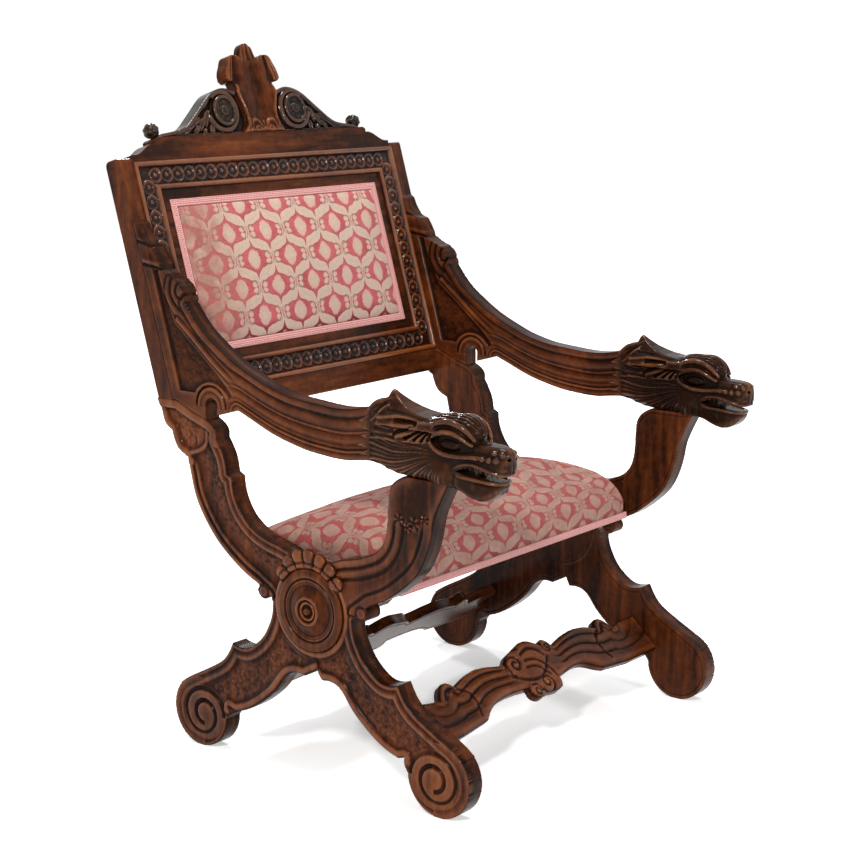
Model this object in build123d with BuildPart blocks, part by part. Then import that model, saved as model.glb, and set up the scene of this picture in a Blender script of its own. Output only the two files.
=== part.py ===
from build123d import *
import math
import os

os.makedirs("parts", exist_ok=True)

# ---------------------------------------------------------------- sizes, mm
# side frames
frame_half_width = 356.5      # outer face of each side frame, from the middle
side_thickness = 33.0
lap_clearance = 0.15          # round the shoulders of the half lap
lap_face_gap = 0.1            # between the two halves of the lap
cross_y = -50.0               # centre of the crossing
cross_z = 276.0
mirror_y = -51.0              # the two legs are alike about this line
foot_reach = 249.0            # foot centre from that line
foot_radius = 59.0
foot_flat_depth = 0.8         # worn flat under each foot
cross_disc_radius = 75.0
bead_reach = 101.0
bead_z = 289.0
bead_radius = 12.5
volute_eye_shift = 8.5        # eye of the scroll, from the foot centre towards the leg
volute_start_radius = 67.0
volute_rate = 0.1046
volute_groove_width = 5.0
volute_groove_depth = 3.5

# crossing boss and shell
boss_radius = 66.0
boss_height = 13.5
boss_spigot_radius = 9.0
spigot_clearance = 0.1
boss_bore_depth = 24.0
shell_thickness = 7.0
shell_radius = 66.0
shell_lobe = 7.0
shell_spread_from = 14.0
shell_z = 302.0
shell_lobes = 7
shell_gap = 0.3
shell_neck = 40.0             # half width of the leaf at its root

# rear post top, where stile and wing sit
post_seat_z = 575.0
post_seat_front_y = 236.0
post_seat_back_y = 277.6
seat_curve_gap = 0.3

# back, in its raked plane: s up the rake, d in front of the face of the stiles
rake_angle = 16.14
rake_foot_y = 75.96           # the front plane of the back meets the floor here
stile_depth = 31.5
stile_above_mould = 7.5       # top of the stiles above the moulding
stile_round = 9.0
stile_corner_radius = 6.0
mould_bottom_s = 599.5
mould_height = 389.0
mould_width = 48.0
mould_lip = 3.0               # the moulding laps over stiles and rails by this much
mould_body_gap = 0.3
mould_depth = 20.0
mould_bead = 4.5
mould_hollow = 2.5
mould_rebate = 8.0
mould_rebate_depth = 10.0
flange_gap = 0.2
flange_overlap = 10.0         # the flanges reach this far behind the panel
bottom_rail_height = 42.5
shoulder_above_mould = 11.5    # shoulder of the top rail above the moulding
cyma_rise = 18.0              # from the shoulder up to the plinth
plinth_height = 9.5
plinth_setback = 57.5         # ends of the plinth inside the side frames
plinth_chamfer_wide = 5.0
plinth_chamfer_high = 3.5
rail_tenon_length = 20.0
rail_tenon_thick = 7.0
rail_tenon_height = 26.0
rail_tenon_setback = 4.0      # tenons clear of the end of the panel flange
tenon_root = 2.0              # a tenon starts this far inside its member
tenon_clearance = 0.15
panel_margin_setback = 4.0    # panel margin behind the face of the stiles
panel_gap = 0.3
gimp_margin = 17.5            # bare panel round the gimp, at the sides and the top
gimp_margin_below = 15.5
gimp_width = 13.0
gimp_thick = 2.6
soft_gap = 0.3
back_pad_base = 5.0
back_pad_crown = 11.0
back_pad_slope = 42.0

# crest
crest_setback = 3.0           # face of the crest board behind the face of the stiles
crest_thickness = 28.0
shield_front = 0.5            # face of the shield in front of the face of the stiles
shield_back = 26.0            # back of the shield behind it
leaf_front = 5.0              # the top leaf is thinner than the shield
leaf_back = 19.7
shield_clearance = 0.3
housing_past_top = 100.0      # the housing is cut past the top of the board
housing_past_bottom = 5.0
rosette_x = 89.0
rosette_rise = 40.5           # centre of the rosette above the plinth
rosette_radius = 27.0
rosette_height = 5.0
rosette_eye_radius = 9.0
rosette_spigot_radius = 5.0
rosette_spigot_length = 8.0
ball_radius = 14.0
ball_inset = 11.0             # centre of the ball inside the end of the plinth
ball_seat_gap = 0.3
ball_peg_radius = 4.0
peg_length = 9.0
peg_end_gap = 0.3

# arms and heads
arm_end_y = -170.0
arm_end_bottom_z = 529.0
arm_end_top_z = 609.0
arch_y = 156.0
arch_z = 574.0
arch_radius = 13.0
arch_foot_z = 560.5
arm_foot_z = 540.0            # the arm behind the arch reaches down to here
arm_foot_back_z = 560.0
lip_cut_below = 40.0          # the cut for the lip of the moulding starts this far under it
wing_top_z = 858.6
head_joint_gap = 0.2
head_nose_y = -425.0
head_half_width = 33.0
ear_half_width = 10.0
support_top_z = 514.0
support_top_back_y = -236.0
support_top_front_y = -321.0
head_seat_height = 24.0
neck_tenon_radius = 11.0
neck_tenon_length = 24.0
neck_tenon_z = 569.0
arm_dowel_radius = 8.0
arm_dowel_length = 50.0
stile_dowel_radius = 7.0
stile_dowel_length = 40.0
dowel_clearance = 0.08
dowel_end_gap = 0.5
eye_y = -304.0
eye_z = 571.0
eye_radius = 9.0
mouth_depth = 12.0

# stretchers, measured in the plane of the front face of the board
stretcher_thickness = 19.0
stretcher_y = -236.9          # a point of the front face of the front stretcher
stretcher_z = 111.4
stretcher_tilt = 44.3         # from the vertical
stretcher_tenon_length = 18.0
stretcher_tenon_thick = 10.0
stretcher_tenon_height = 44.0
stretcher_drawn_half = 323.5  # half length that the outline was drawn for

# seat
seat_side_gap = 11.5          # air between the seat and each side frame
seat_front_y = -195.0
seat_back_y = 136.0
seat_bottom_z = 314.0
seat_rail_height = 34.0
seat_rail_thickness = 24.0
seat_cover_thickness = 5.0    # stuffing and cover over the outside of the rails
seat_tenon_length = 16.0
seat_tenon_thick = 8.0
seat_tenon_height = 22.0
seat_edge_rise = 3.1          # edge of the stuffing above the webbing
seat_crown_height = 68.5      # crown of the stuffing above its front edge
seat_gimp_height = 12.0
seat_gimp_thick = 1.8
bearer_width = 33.0
bearer_height = 24.0
bearer_front_y = -160.0
bearer_back_y = 62.0
bearer_gap = 0.3
bearer_chamfer = 9.0
webbing_width = 50.0
webbing_thick = 1.6
webbing_lap = 18.0            # over the rails
webbing_side_gap = 79.0       # outer straps inside the middle of the side rails
webbing_front_gap = 44.0      # first strap behind the front rail
webbing_back_gap = 49.0
dust_thick = 1.2
dust_side_lap = 5.0           # under the side rails
dust_lap = 8.0

# ---------------------------------------------------------------- derived
inner_face = frame_half_width - side_thickness
lap_plane = frame_half_width - side_thickness / 2
mould_half_width = inner_face + mould_lip
mould_top_s = mould_bottom_s + mould_height
stile_top = mould_top_s + stile_above_mould
bottom_rail_bottom = mould_bottom_s + mould_lip - bottom_rail_height
top_rail_shoulder = mould_top_s + shoulder_above_mould
top_rail_step = top_rail_shoulder + cyma_rise
plinth_top = top_rail_step + plinth_height
plinth_half = inner_face - plinth_setback
ball_x = plinth_half - ball_inset
rosette_s = plinth_top + rosette_rise
seat_half_width = inner_face - seat_side_gap
foot_z = foot_radius - foot_flat_depth
front_foot_y = mirror_y - foot_reach
rear_foot_y = mirror_y + foot_reach
rake = math.radians(rake_angle)


crotch = (-62.0, 181.2)       # where the two legs part under the crossing

# leg edges, as distance out from the mirror line and height
leg_under = [
    (170.0, 74.0), (153.7, 78.8), (124.3, 93.5), (94.9, 115.6), (77.2, 132.5),
    (65.5, 147.5), (53.0, 160.5), (33.0, 166.8), (18.4, 165.6),
]
leg_over = [
    (294.9, 97.9), (274.3, 111.8), (253.7, 122.9), (212.5, 145.0), (194.9, 157.0), (184.5, 169.0),
    (172.6, 190.0),
]
leg_hollow = [
    (172.6, 190.0), (153.0, 185.6), (139.0, 187.6), (124.3, 196.0), (106.6, 211.8), (93.5, 232.0),
    (84.0, 258.0), (82.5, 275.0),
]
foot_heel = [(196.0, 50.0), (184.5, 64.5), (183.0, 78.0)]
leg_root = (86.0, 284.0)
ground_length = 900.0
ground_depth = 100.0


def leg_profile(way, shoulder_gap):
    """Leg with its scroll foot; way is -1 for the front leg, +1 for the rear leg."""
    at = lambda u, z: (mirror_y + way * u, z)
    with BuildSketch() as leg:
        with BuildLine():
            Polyline(*[at(*p) for p in foot_heel], at(*leg_under[0]))
            Spline(*[at(*p) for p in leg_under])
            Polyline(at(*leg_under[-1]), crotch, (cross_y, cross_z), at(*leg_root), at(*leg_hollow[-1]))
            Spline(*[at(*p) for p in reversed(leg_hollow)])
            Spline(*[at(*p) for p in reversed(leg_over)])
            Polyline(at(*leg_over[0]), at(foot_reach, foot_z), at(*foot_heel[0]))
        make_face()
        with Locations(at(foot_reach, foot_z)):
            Circle(foot_radius)
        with Locations((cross_y, cross_z)):
            Circle(cross_disc_radius + shoulder_gap)
        with Locations((mirror_y, -ground_depth / 2)):
            Rectangle(ground_length, ground_depth, mode=Mode.SUBTRACT)
    return leg.sketch


post_root = (40.0, 284.0)
post_back = [
    (68.0, 300.0), (84.0, 307.0), (119.4, 328.4), (154.7, 357.6), (181.2, 390.6), (197.4, 419.0),
    (207.6, 454.0), (214.5, 485.0),
]
post_cove = [(214.5, 485.0), (236.0, 496.6), (244.5, 511.0), (249.0, 524.4)]
post_lobe = [(249.0, 524.4), (263.0, 533.5), (270.5, 553.5), (278.6, 572.5)]
post_crown = [
    (post_seat_front_y, post_seat_z), (219.0, 568.0), (200.0, 560.4), (178.0, 553.2), (160.0, 545.6),
    (148.5, 534.5), (147.0, 521.0),
]
post_front = [(147.0, 521.0), (137.0, 505.5), (129.5, 489.0), (125.8, 468.0)]
post_inner = [
    (115.0, 462.5), (112.2, 441.0), (104.7, 421.8), (93.0, 404.5), (79.7, 392.4), (60.6, 381.0),
    (38.0, 373.0), (10.0, 366.5), (-26.0, 352.0),
]


def post_profile():
    """Rear post, from the crossing up to the seat of the stile."""
    with BuildSketch() as post:
        with BuildLine():
            Line((cross_y, cross_z), post_root)
            Line(post_root, post_back[0])
            Spline(*post_back)
            Spline(*post_cove)
            Spline(*post_lobe)
            Polyline(post_lobe[-1], (post_seat_back_y, post_seat_z), (post_seat_front_y, post_seat_z))
            Spline(*post_crown)
            Spline(*post_front)
            Line(post_front[-1], post_inner[0])
            Spline(*post_inner)
            Line(post_inner[-1], (cross_y, cross_z))
        make_face()
        with Locations((mirror_y + bead_reach, bead_z)):
            Circle(bead_radius)
    return post.sketch


support_root = (-142.0, 284.0)
support_under = [
    (-170.0, 304.8), (-202.0, 319.6), (-237.0, 345.0), (-264.0, 372.0), (-277.5, 397.0), (-288.0, 430.0),
    (-293.3, 455.0), (-303.0, 479.0), (support_top_front_y, support_top_z),
]
support_back = [
    (support_top_back_y, support_top_z), (-218.0, 503.0), (-208.8, 490.0), (-206.2, 474.0), (-205.0, 446.0),
    (-203.0, 427.0), (-194.0, 402.5), (-180.0, 389.0), (-162.0, 380.6), (-140.0, 373.0), (-112.0, 366.5),
    (-76.0, 352.0),
]


def support_profile():
    """Front arm support, from the crossing up to the head."""
    with BuildSketch() as support:
        with BuildLine():
            Line((cross_y, cross_z), support_root)
            Line(support_root, support_under[0])
            Spline(*support_under)
            Line((support_top_front_y, support_top_z), (support_top_back_y, support_top_z))
            Spline(*support_back)
            Line(support_back[-1], (cross_y, cross_z))
        make_face()
        with Locations((mirror_y - bead_reach, bead_z)):
            Circle(bead_radius)
    return support.sketch


with BuildSketch() as leg_post_profile:
    add(leg_profile(-1, 0))
    add(post_profile())

with BuildSketch() as leg_arm_profile:
    add(leg_profile(1, 0))
    add(support_profile())

with BuildSketch() as leg_post_gauge:
    add(leg_profile(-1, lap_clearance))
    add(post_profile())

with BuildSketch() as leg_arm_gauge:
    add(leg_profile(1, lap_clearance))
    add(support_profile())


def volute_groove(way):
    """Groove of the foot scroll: a logarithmic spiral, drawn round the eye."""
    eye_y = mirror_y + way * (foot_reach - volute_eye_shift)
    inner = []
    outer = []
    steps = 24
    for i in range(steps + 1):
        turn = math.pi + 3 * math.pi * i / steps
        r = volute_start_radius * math.exp(-volute_rate * turn)
        half = volute_groove_width / 2 * (1.0 - 0.45 * i / steps)
        y_dir = way * math.cos(turn)
        z_dir = -math.sin(turn)
        outer.append((eye_y + (r + half) * y_dir, foot_z + (r + half) * z_dir))
        inner.append((eye_y + (r - half) * y_dir, foot_z + (r - half) * z_dir))
    with BuildSketch() as groove:
        with BuildLine():
            Spline(*outer)
            Line(outer[-1], inner[-1])
            Spline(*reversed(inner))
            Line(inner[0], outer[0])
        make_face()
    return groove.sketch


# ---------------------------------------------------------------- side frames
with BuildPart() as cross_leg_post_l:
    with BuildSketch(Plane.YZ.offset(lap_plane + lap_face_gap / 2)):
        add(leg_post_profile.sketch)
    extrude(amount=side_thickness / 2 - lap_face_gap / 2)
    with BuildSketch(Plane.YZ.offset(inner_face)):
        add(leg_post_profile.sketch)
        add(leg_arm_gauge.sketch, mode=Mode.SUBTRACT)
    extrude(amount=side_thickness / 2 + lap_face_gap / 2)
    with BuildSketch(Plane.YZ.offset(frame_half_width)):
        add(volute_groove(-1))
    extrude(amount=-volute_groove_depth, mode=Mode.SUBTRACT)

with BuildPart() as cross_leg_arm_l:
    with BuildSketch(Plane.YZ.offset(inner_face)):
        add(leg_arm_profile.sketch)
    extrude(amount=side_thickness / 2 - lap_face_gap / 2)
    with BuildSketch(Plane.YZ.offset(lap_plane - lap_face_gap / 2)):
        add(leg_arm_profile.sketch)
        add(leg_post_gauge.sketch, mode=Mode.SUBTRACT)
    extrude(amount=side_thickness / 2 + lap_face_gap / 2)
    with BuildSketch(Plane.YZ.offset(frame_half_width)):
        add(volute_groove(1))
    extrude(amount=-volute_groove_depth, mode=Mode.SUBTRACT)


# the boss stands in a bore through the outer half of the lap and into the inner half
boss_place = Plane((frame_half_width, cross_y, cross_z), x_dir=(0, 1, 0), z_dir=(1, 0, 0))

for member in (cross_leg_post_l, cross_leg_arm_l):
    with member:
        with BuildSketch(boss_place):
            Circle(boss_spigot_radius + spigot_clearance)
        extrude(amount=-boss_bore_depth, mode=Mode.SUBTRACT)

boss_rings = [
    (boss_radius, 0.0), (boss_radius, 1.6), (boss_radius - 2.0, 2.6), (58.5, 2.2), (57.0, 2.4), (56.5, 4.2),
    (54.0, 5.6), (50.5, 5.6), (47.5, 4.2), (46.0, 2.6), (43.5, 2.6), (42.0, 4.4), (39.5, 5.6), (37.0, 4.8),
    (36.0, 4.0), (30.0, 5.2), (25.0, 7.2), (23.5, 9.2), (20.5, 9.8), (18.0, 8.4), (16.0, 8.2),
    (13.5, 10.4), (11.0, 9.8), (9.0, 10.2), (6.0, 12.8), (2.5, boss_height), (0.0, boss_height),
]
with BuildPart() as boss_l:
    with BuildSketch(Plane((frame_half_width, cross_y, cross_z), x_dir=(0, 1, 0), z_dir=(0, 0, -1))):
        with BuildLine():
            Polyline(*boss_rings, (0.0, 1.0 - boss_bore_depth), (boss_spigot_radius, 1.0 - boss_bore_depth),
                     (boss_spigot_radius, 0.0), close=True)
        make_face()
    revolve(axis=Axis((frame_half_width, cross_y, cross_z), (1, 0, 0)))


def fan_point(radius, k):
    """Point of the fan leaf at a radius and a lobe number."""
    angle = math.radians(shell_spread_from + (180.0 - 2 * shell_spread_from) * k / shell_lobes)
    return (cross_y + radius * math.cos(angle), shell_z + radius * math.sin(angle))


# fan leaf over the roundel, lying on the outer faces of both members
with BuildPart() as shell_l:
    with BuildSketch(Plane.YZ.offset(frame_half_width)):
        with BuildLine():
            for k in range(shell_lobes):
                ThreePointArc(fan_point(shell_radius, k), fan_point(shell_radius + shell_lobe, k + 0.5),
                              fan_point(shell_radius, k + 1))
            Polyline(fan_point(shell_radius, shell_lobes), (cross_y - shell_neck, shell_z),
                     (cross_y + shell_neck, shell_z), fan_point(shell_radius, 0))
        make_face()
        with Locations((cross_y, cross_z)):
            Circle(boss_radius + shell_gap, mode=Mode.SUBTRACT)
    extrude(amount=shell_thickness)


# ---------------------------------------------------------------- back
def back_point(s, d):
    """(y, z) of a point s up the raked plane and d in front of it."""
    return (rake_foot_y + s * math.sin(rake) - d * math.cos(rake),
            s * math.cos(rake) + d * math.sin(rake))


def back_plane(d):
    """Raked plane: local x across the chair, local y up the rake, facing forward."""
    y, z = back_point(0.0, d)
    return Plane((0, y, z), x_dir=(1, 0, 0), z_dir=(0, -math.cos(rake), math.sin(rake)))


def face_y(z):
    """y of the front plane of the back at height z."""
    return rake_foot_y + z * math.tan(rake)


def slab(x_from, x_to, s_from, s_to, d_from, d_to, mode=Mode.ADD):
    """Block in the raked plane, made in the open part."""
    with BuildSketch(back_plane(d_from)) as outline:
        with Locations(((x_from + x_to) / 2, (s_from + s_to) / 2)):
            Rectangle(x_to - x_from, s_to - s_from)
    extrude(outline.sketch, amount=d_to - d_from, mode=mode)


mould_in_half = mould_half_width - mould_width
mould_in_bottom = mould_bottom_s + mould_width
mould_in_top = mould_top_s - mould_width
gimp_half = mould_in_half - gimp_margin
gimp_bottom = mould_in_bottom + gimp_margin_below
gimp_top = mould_in_top - gimp_margin
flange_face = -(mould_depth + flange_gap)
flange_half = mould_in_half - flange_overlap
flange_bottom = mould_in_bottom + flange_overlap
flange_top = mould_in_top - flange_overlap
tenon_low_s = flange_bottom - rail_tenon_setback - rail_tenon_height
tenon_high_s = flange_top + rail_tenon_setback
tenon_mid_d = (flange_face - stile_depth) / 2
rear_run = stile_depth / math.cos(rake)


def rail_tenons(grow, s_from, mode):
    """The two tenons of a rail, or with some growth one of its mortises."""
    for side in (-1, 1):
        x_near = side * (inner_face - tenon_root)
        x_far = side * (inner_face + rail_tenon_length + grow)
        slab(min(x_near, x_far), max(x_near, x_far), s_from - grow, s_from + rail_tenon_height + grow,
             tenon_mid_d - rail_tenon_thick / 2 - grow, tenon_mid_d + rail_tenon_thick / 2 + grow, mode)


with BuildPart() as back_stile_l:
    with BuildSketch(Plane.YZ.offset(inner_face)):
        with BuildLine():
            Polyline(back_point(stile_top, -stile_depth + stile_round), back_point(stile_top, 0.0),
                     (face_y(post_seat_z), post_seat_z), (face_y(post_seat_z) + rear_run, post_seat_z),
                     back_point(stile_top - stile_round, -stile_depth))
            ThreePointArc(back_point(stile_top - stile_round, -stile_depth),
                          back_point(stile_top - stile_round * 0.293, -stile_depth + stile_round * 0.293),
                          back_point(stile_top, -stile_depth + stile_round))
        make_face()
    extrude(amount=side_thickness)
    slab(flange_half, inner_face + 1.0, flange_bottom + panel_gap, flange_top - panel_gap,
         -stile_depth, flange_face)
    rail_tenons(tenon_clearance, tenon_low_s, Mode.SUBTRACT)
    rail_tenons(tenon_clearance, tenon_high_s, Mode.SUBTRACT)
    fillet(back_stile_l.edges().group_by(Axis.Z)[-1].sort_by(Axis.X)[-1], stile_corner_radius)

with BuildPart() as bottom_rail:
    slab(-inner_face, inner_face, bottom_rail_bottom, mould_bottom_s + mould_lip, -stile_depth, 0.0)
    slab(-inner_face, inner_face, mould_bottom_s, flange_bottom, -stile_depth, flange_face)
    rail_tenons(0.0, tenon_low_s, Mode.ADD)

rail_cyma_run = [(52.0, 0.0), (40.0, 2.5), (28.0, 9.0), (16.0, 15.5), (0.0, cyma_rise)]
rail_cyma = [(plinth_half + x, top_rail_shoulder + s) for x, s in rail_cyma_run]
with BuildPart() as top_rail:
    with BuildSketch(back_plane(-stile_depth)):
        with BuildLine():
            Polyline((0.0, mould_top_s - mould_lip), (inner_face, mould_top_s - mould_lip),
                     (inner_face, top_rail_shoulder), rail_cyma[0])
            Spline(*rail_cyma)
            Polyline((plinth_half, top_rail_step), (plinth_half, plinth_top - plinth_chamfer_high),
                     (plinth_half - plinth_chamfer_wide, plinth_top), (0.0, plinth_top),
                     (0.0, mould_top_s - mould_lip))
        make_face()
        mirror(about=Plane.YZ)
    extrude(amount=stile_depth)
    slab(-inner_face, inner_face, flange_top, mould_top_s, -stile_depth, flange_face)
    rail_tenons(0.0, tenon_high_s, Mode.ADD)
    for side in (-1, 1):
        with BuildSketch(Plane((0, *back_point(plinth_top, 0)), x_dir=(1, 0, 0),
                               z_dir=(0, math.sin(rake), math.cos(rake)))):
            with Locations((side * ball_x, crest_setback + crest_thickness / 2)):
                Circle(ball_peg_radius + dowel_clearance)
        extrude(amount=-peg_length, mode=Mode.SUBTRACT)


def mould_profile():
    """Section of the moulding: w inward from the lip, d forward."""
    with BuildSketch() as section:
        with BuildLine():
            Polyline((mould_lip + mould_body_gap, 0.0), (0.0, 0.0), (0.0, 2.0))
            ThreePointArc((0.0, 2.0), (4.0, mould_bead), (8.0, 2.0))
            Polyline((8.0, 2.0), (9.0, 0.0))
            ThreePointArc((9.0, 0.0), (11.0, -mould_hollow + 0.6), (14.0, -mould_hollow))
            Line((14.0, -mould_hollow), (mould_width - 14.0, -mould_hollow))
            ThreePointArc((mould_width - 14.0, -mould_hollow), (mould_width - 11.0, -mould_hollow + 0.6),
                          (mould_width - 9.5, 0.5))
            Line((mould_width - 9.5, 0.5), (mould_width - 8.5, 1.5))
            ThreePointArc((mould_width - 8.5, 1.5), (mould_width - 5.0, mould_bead - 0.7),
                          (mould_width - 1.5, 1.5))
            Polyline((mould_width - 1.5, 1.5), (mould_width, -1.0), (mould_width, -mould_rebate_depth),
                     (mould_width - mould_rebate, -mould_rebate_depth),
                     (mould_width - mould_rebate, -mould_depth),
                     (mould_lip + mould_body_gap, -mould_depth), (mould_lip + mould_body_gap, 0.0))
        make_face()
    return section.sketch


def raked(x, s, d):
    """Point across x, up s and forward d."""
    return Vector(x, *back_point(s, d))


up_rake = Vector(0, math.sin(rake), math.cos(rake))
forward = Vector(0, -math.cos(rake), math.sin(rake))


def mould_piece(start, end, inward):
    """Moulding from one outer corner of the frame to the next, mitred at both ends."""
    along = (end - start).normalized()
    place = Plane(start, x_dir=inward, z_dir=inward.cross(forward))
    way = 1.0 if place.z_dir.dot(along) > 0 else -1.0
    extrude(place * mould_profile(), amount=way * (end - start).length)
    split(bisect_by=Plane(start, x_dir=forward, z_dir=along - inward), keep=Keep.TOP)
    split(bisect_by=Plane(end, x_dir=forward, z_dir=along * -1 - inward), keep=Keep.TOP)


corner_low_l = raked(mould_half_width, mould_bottom_s, 0.0)
corner_low_r = raked(-mould_half_width, mould_bottom_s, 0.0)
corner_top_l = raked(mould_half_width, mould_top_s, 0.0)
corner_top_r = raked(-mould_half_width, mould_top_s, 0.0)

with BuildPart() as mould_top:
    mould_piece(corner_top_r, corner_top_l, up_rake * -1)

with BuildPart() as mould_bottom:
    mould_piece(corner_low_r, corner_low_l, up_rake)

with BuildPart() as mould_l:
    mould_piece(corner_low_l, corner_top_l, Vector(-1, 0, 0))

# fielded panel: its tongue lies in the rebate of the moulding
with BuildPart() as back_panel:
    tongue = mould_rebate - panel_gap
    slab(-mould_in_half - tongue, mould_in_half + tongue, mould_in_bottom - tongue, mould_in_top + tongue,
         -mould_depth, -mould_rebate_depth - panel_gap)
    slab(-mould_in_half + panel_gap, mould_in_half - panel_gap, mould_in_bottom + panel_gap,
         mould_in_top - panel_gap, -mould_rebate_depth - panel_gap, -panel_margin_setback)

with BuildPart() as back_gimp:
    gimp_back = -panel_margin_setback + soft_gap
    slab(-gimp_half, gimp_half, gimp_bottom, gimp_top, gimp_back, gimp_back + gimp_thick)
    slab(-gimp_half + gimp_width, gimp_half - gimp_width, gimp_bottom + gimp_width, gimp_top - gimp_width,
         gimp_back, gimp_back + gimp_thick, Mode.SUBTRACT)

with BuildPart() as back_pad:
    pad_half = gimp_half - gimp_width - soft_gap
    pad_low = gimp_bottom + gimp_width + soft_gap
    pad_high = gimp_top - gimp_width - soft_gap
    slab(-pad_half, pad_half, pad_low, pad_high, gimp_back, gimp_back + back_pad_base)
    with BuildSketch(back_plane(gimp_back + back_pad_base)):
        with Locations((0, (pad_low + pad_high) / 2)):
            Rectangle(2 * pad_half, pad_high - pad_low)
    with BuildSketch(back_plane(gimp_back + back_pad_crown)):
        with Locations((0, (pad_low + pad_high) / 2)):
            RectangleRounded(2 * pad_half - 2 * back_pad_slope, pad_high - pad_low - 2 * back_pad_slope, 30)
    loft()


# ---------------------------------------------------------------- crest
# outlines of the crest, as distance from the middle and height above the plinth
board_head = [(55.0, 74.5), (74.0, 80.0), (94.0, 78.5), (116.0, 70.0)]
board_slope = [(139.0, 52.5), (164.0, 32.5), (190.0, 15.0), (208.0, 10.5), (250.0, 5.5)]
board_end_inset = 5.0         # end of the board inside the centre of the ball
slope_stretch = (ball_x - board_end_inset - board_head[-1][0]) / (board_slope[-1][0] - board_head[-1][0])
leaf_run = [(0.0, 160.0), (8.0, 156.5), (15.0, 148.5), (20.0, 138.5), (23.0, 130.5)]
leaf_root = (17.0, 112.5)
ear_run = [(18.0, 128.5), (30.0, 137.0), (42.0, 138.0), (49.0, 135.0), (57.0, 122.5), (64.0, 110.5),
           (66.0, 97.5)]
side_run = [(66.0, 97.5), (58.0, 90.5), (49.0, 90.0), (48.0, 81.5), (50.0, 72.5), (46.0, 57.5),
            (41.0, 42.5), (39.0, 27.5), (40.0, 17.5), (46.0, 7.5), (52.0, 0.0)]


def above_plinth(run):
    """Points of an outline, lifted to the top of the plinth."""
    return [(x, plinth_top + s) for x, s in run]


board_shoulder = above_plinth(board_head)
board_shoulder += above_plinth([(board_head[-1][0] + (x - board_head[-1][0]) * slope_stretch, s)
                                for x, s in board_slope])
shield_leaf = above_plinth(leaf_run)
shield_ear = above_plinth(ear_run)
shield_side = above_plinth(side_run)


def shield_outline():
    """Face of the shield in the raked plane."""
    with BuildSketch() as face:
        with BuildLine():
            Line((0.0, shield_ear[0][1]), shield_ear[0])
            Spline(*shield_ear)
            Spline(*shield_side)
            Polyline(shield_side[-1], (0.0, plinth_top), (0.0, shield_ear[0][1]))
        make_face()
        mirror(about=Plane.YZ)
    return face.sketch


def leaf_outline():
    """Leaf that stands above the shield."""
    with BuildSketch() as face:
        with BuildLine():
            Spline(*shield_leaf)
            Polyline(shield_leaf[-1], *above_plinth([leaf_root, (0.0, leaf_root[1])]), shield_leaf[0])
        make_face()
        mirror(about=Plane.YZ)
    return face.sketch


def crest_hole(radius, x, s):
    """Circle of a spigot hole for the face of the crest board."""
    with BuildSketch(back_plane(-crest_setback)) as hole:
        with Locations((x, s)):
            Circle(radius)
    return hole.sketch


with BuildPart() as crest_board:
    with BuildSketch(back_plane(-crest_setback)):
        with BuildLine():
            Polyline((0.0, plinth_top), (0.0, board_shoulder[0][1]), board_shoulder[0])
            Spline(*board_shoulder)
            Polyline(board_shoulder[-1], (board_shoulder[-1][0], plinth_top), (0.0, plinth_top))
        make_face()
        mirror(about=Plane.YZ)
    extrude(amount=-crest_thickness)
    with BuildSketch(back_plane(-crest_setback)):
        with BuildLine():
            housing = [(x + shield_clearance, s) for x, s in shield_side[3:]]
            Polyline(*above_plinth([(0.0, housing_past_top), (housing[0][0], housing_past_top)]), housing[0])
            Spline(*housing)
            Polyline(housing[-1], (housing[-1][0], plinth_top - housing_past_bottom),
                     (0.0, plinth_top - housing_past_bottom), (0.0, plinth_top + housing_past_top))
        make_face()
        mirror(about=Plane.YZ)
    extrude(amount=-(shield_back - crest_setback + shield_clearance), mode=Mode.SUBTRACT)
    for side in (-1, 1):
        extrude(crest_hole(rosette_spigot_radius + spigot_clearance, side * rosette_x, rosette_s),
                amount=-rosette_spigot_length, mode=Mode.SUBTRACT)
        with Locations(raked(side * ball_x, plinth_top + ball_radius, -crest_setback - crest_thickness / 2)):
            Sphere(ball_radius + ball_seat_gap, mode=Mode.SUBTRACT)

with BuildPart() as crest_shield:
    with BuildSketch(back_plane(-shield_back)):
        add(shield_outline())
    extrude(amount=shield_back + shield_front)
    with BuildSketch(back_plane(-leaf_back)):
        add(leaf_outline())
    extrude(amount=leaf_back - leaf_front)

rosette_rings = [
    (rosette_radius, 0.0), (rosette_radius, 3.0), (24.5, rosette_height), (21.0, 4.2), (19.5, 1.8),
    (12.0, 1.4), (rosette_eye_radius, 2.6), (6.5, 4.6), (0.0, rosette_height),
]
rosette_centre = raked(rosette_x, rosette_s, -crest_setback)
with BuildPart() as rosette_l:
    with BuildSketch(Plane(rosette_centre, x_dir=(1, 0, 0), z_dir=up_rake * -1)):
        with BuildLine():
            Polyline(*rosette_rings, (0.0, 0.5 - rosette_spigot_length),
                     (rosette_spigot_radius, 0.5 - rosette_spigot_length),
                     (rosette_spigot_radius, 0.0), close=True)
        make_face()
    revolve(axis=Axis(rosette_centre, forward))

ball_centre = raked(ball_x, plinth_top + ball_radius, -crest_setback - crest_thickness / 2)
with BuildPart() as crest_ball_l:
    with Locations(ball_centre):
        Sphere(ball_radius)
    with BuildSketch(Plane(ball_centre, x_dir=(1, 0, 0), z_dir=up_rake * -1)):
        Circle(ball_peg_radius)
    extrude(amount=ball_radius + peg_length - peg_end_gap)

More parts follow.
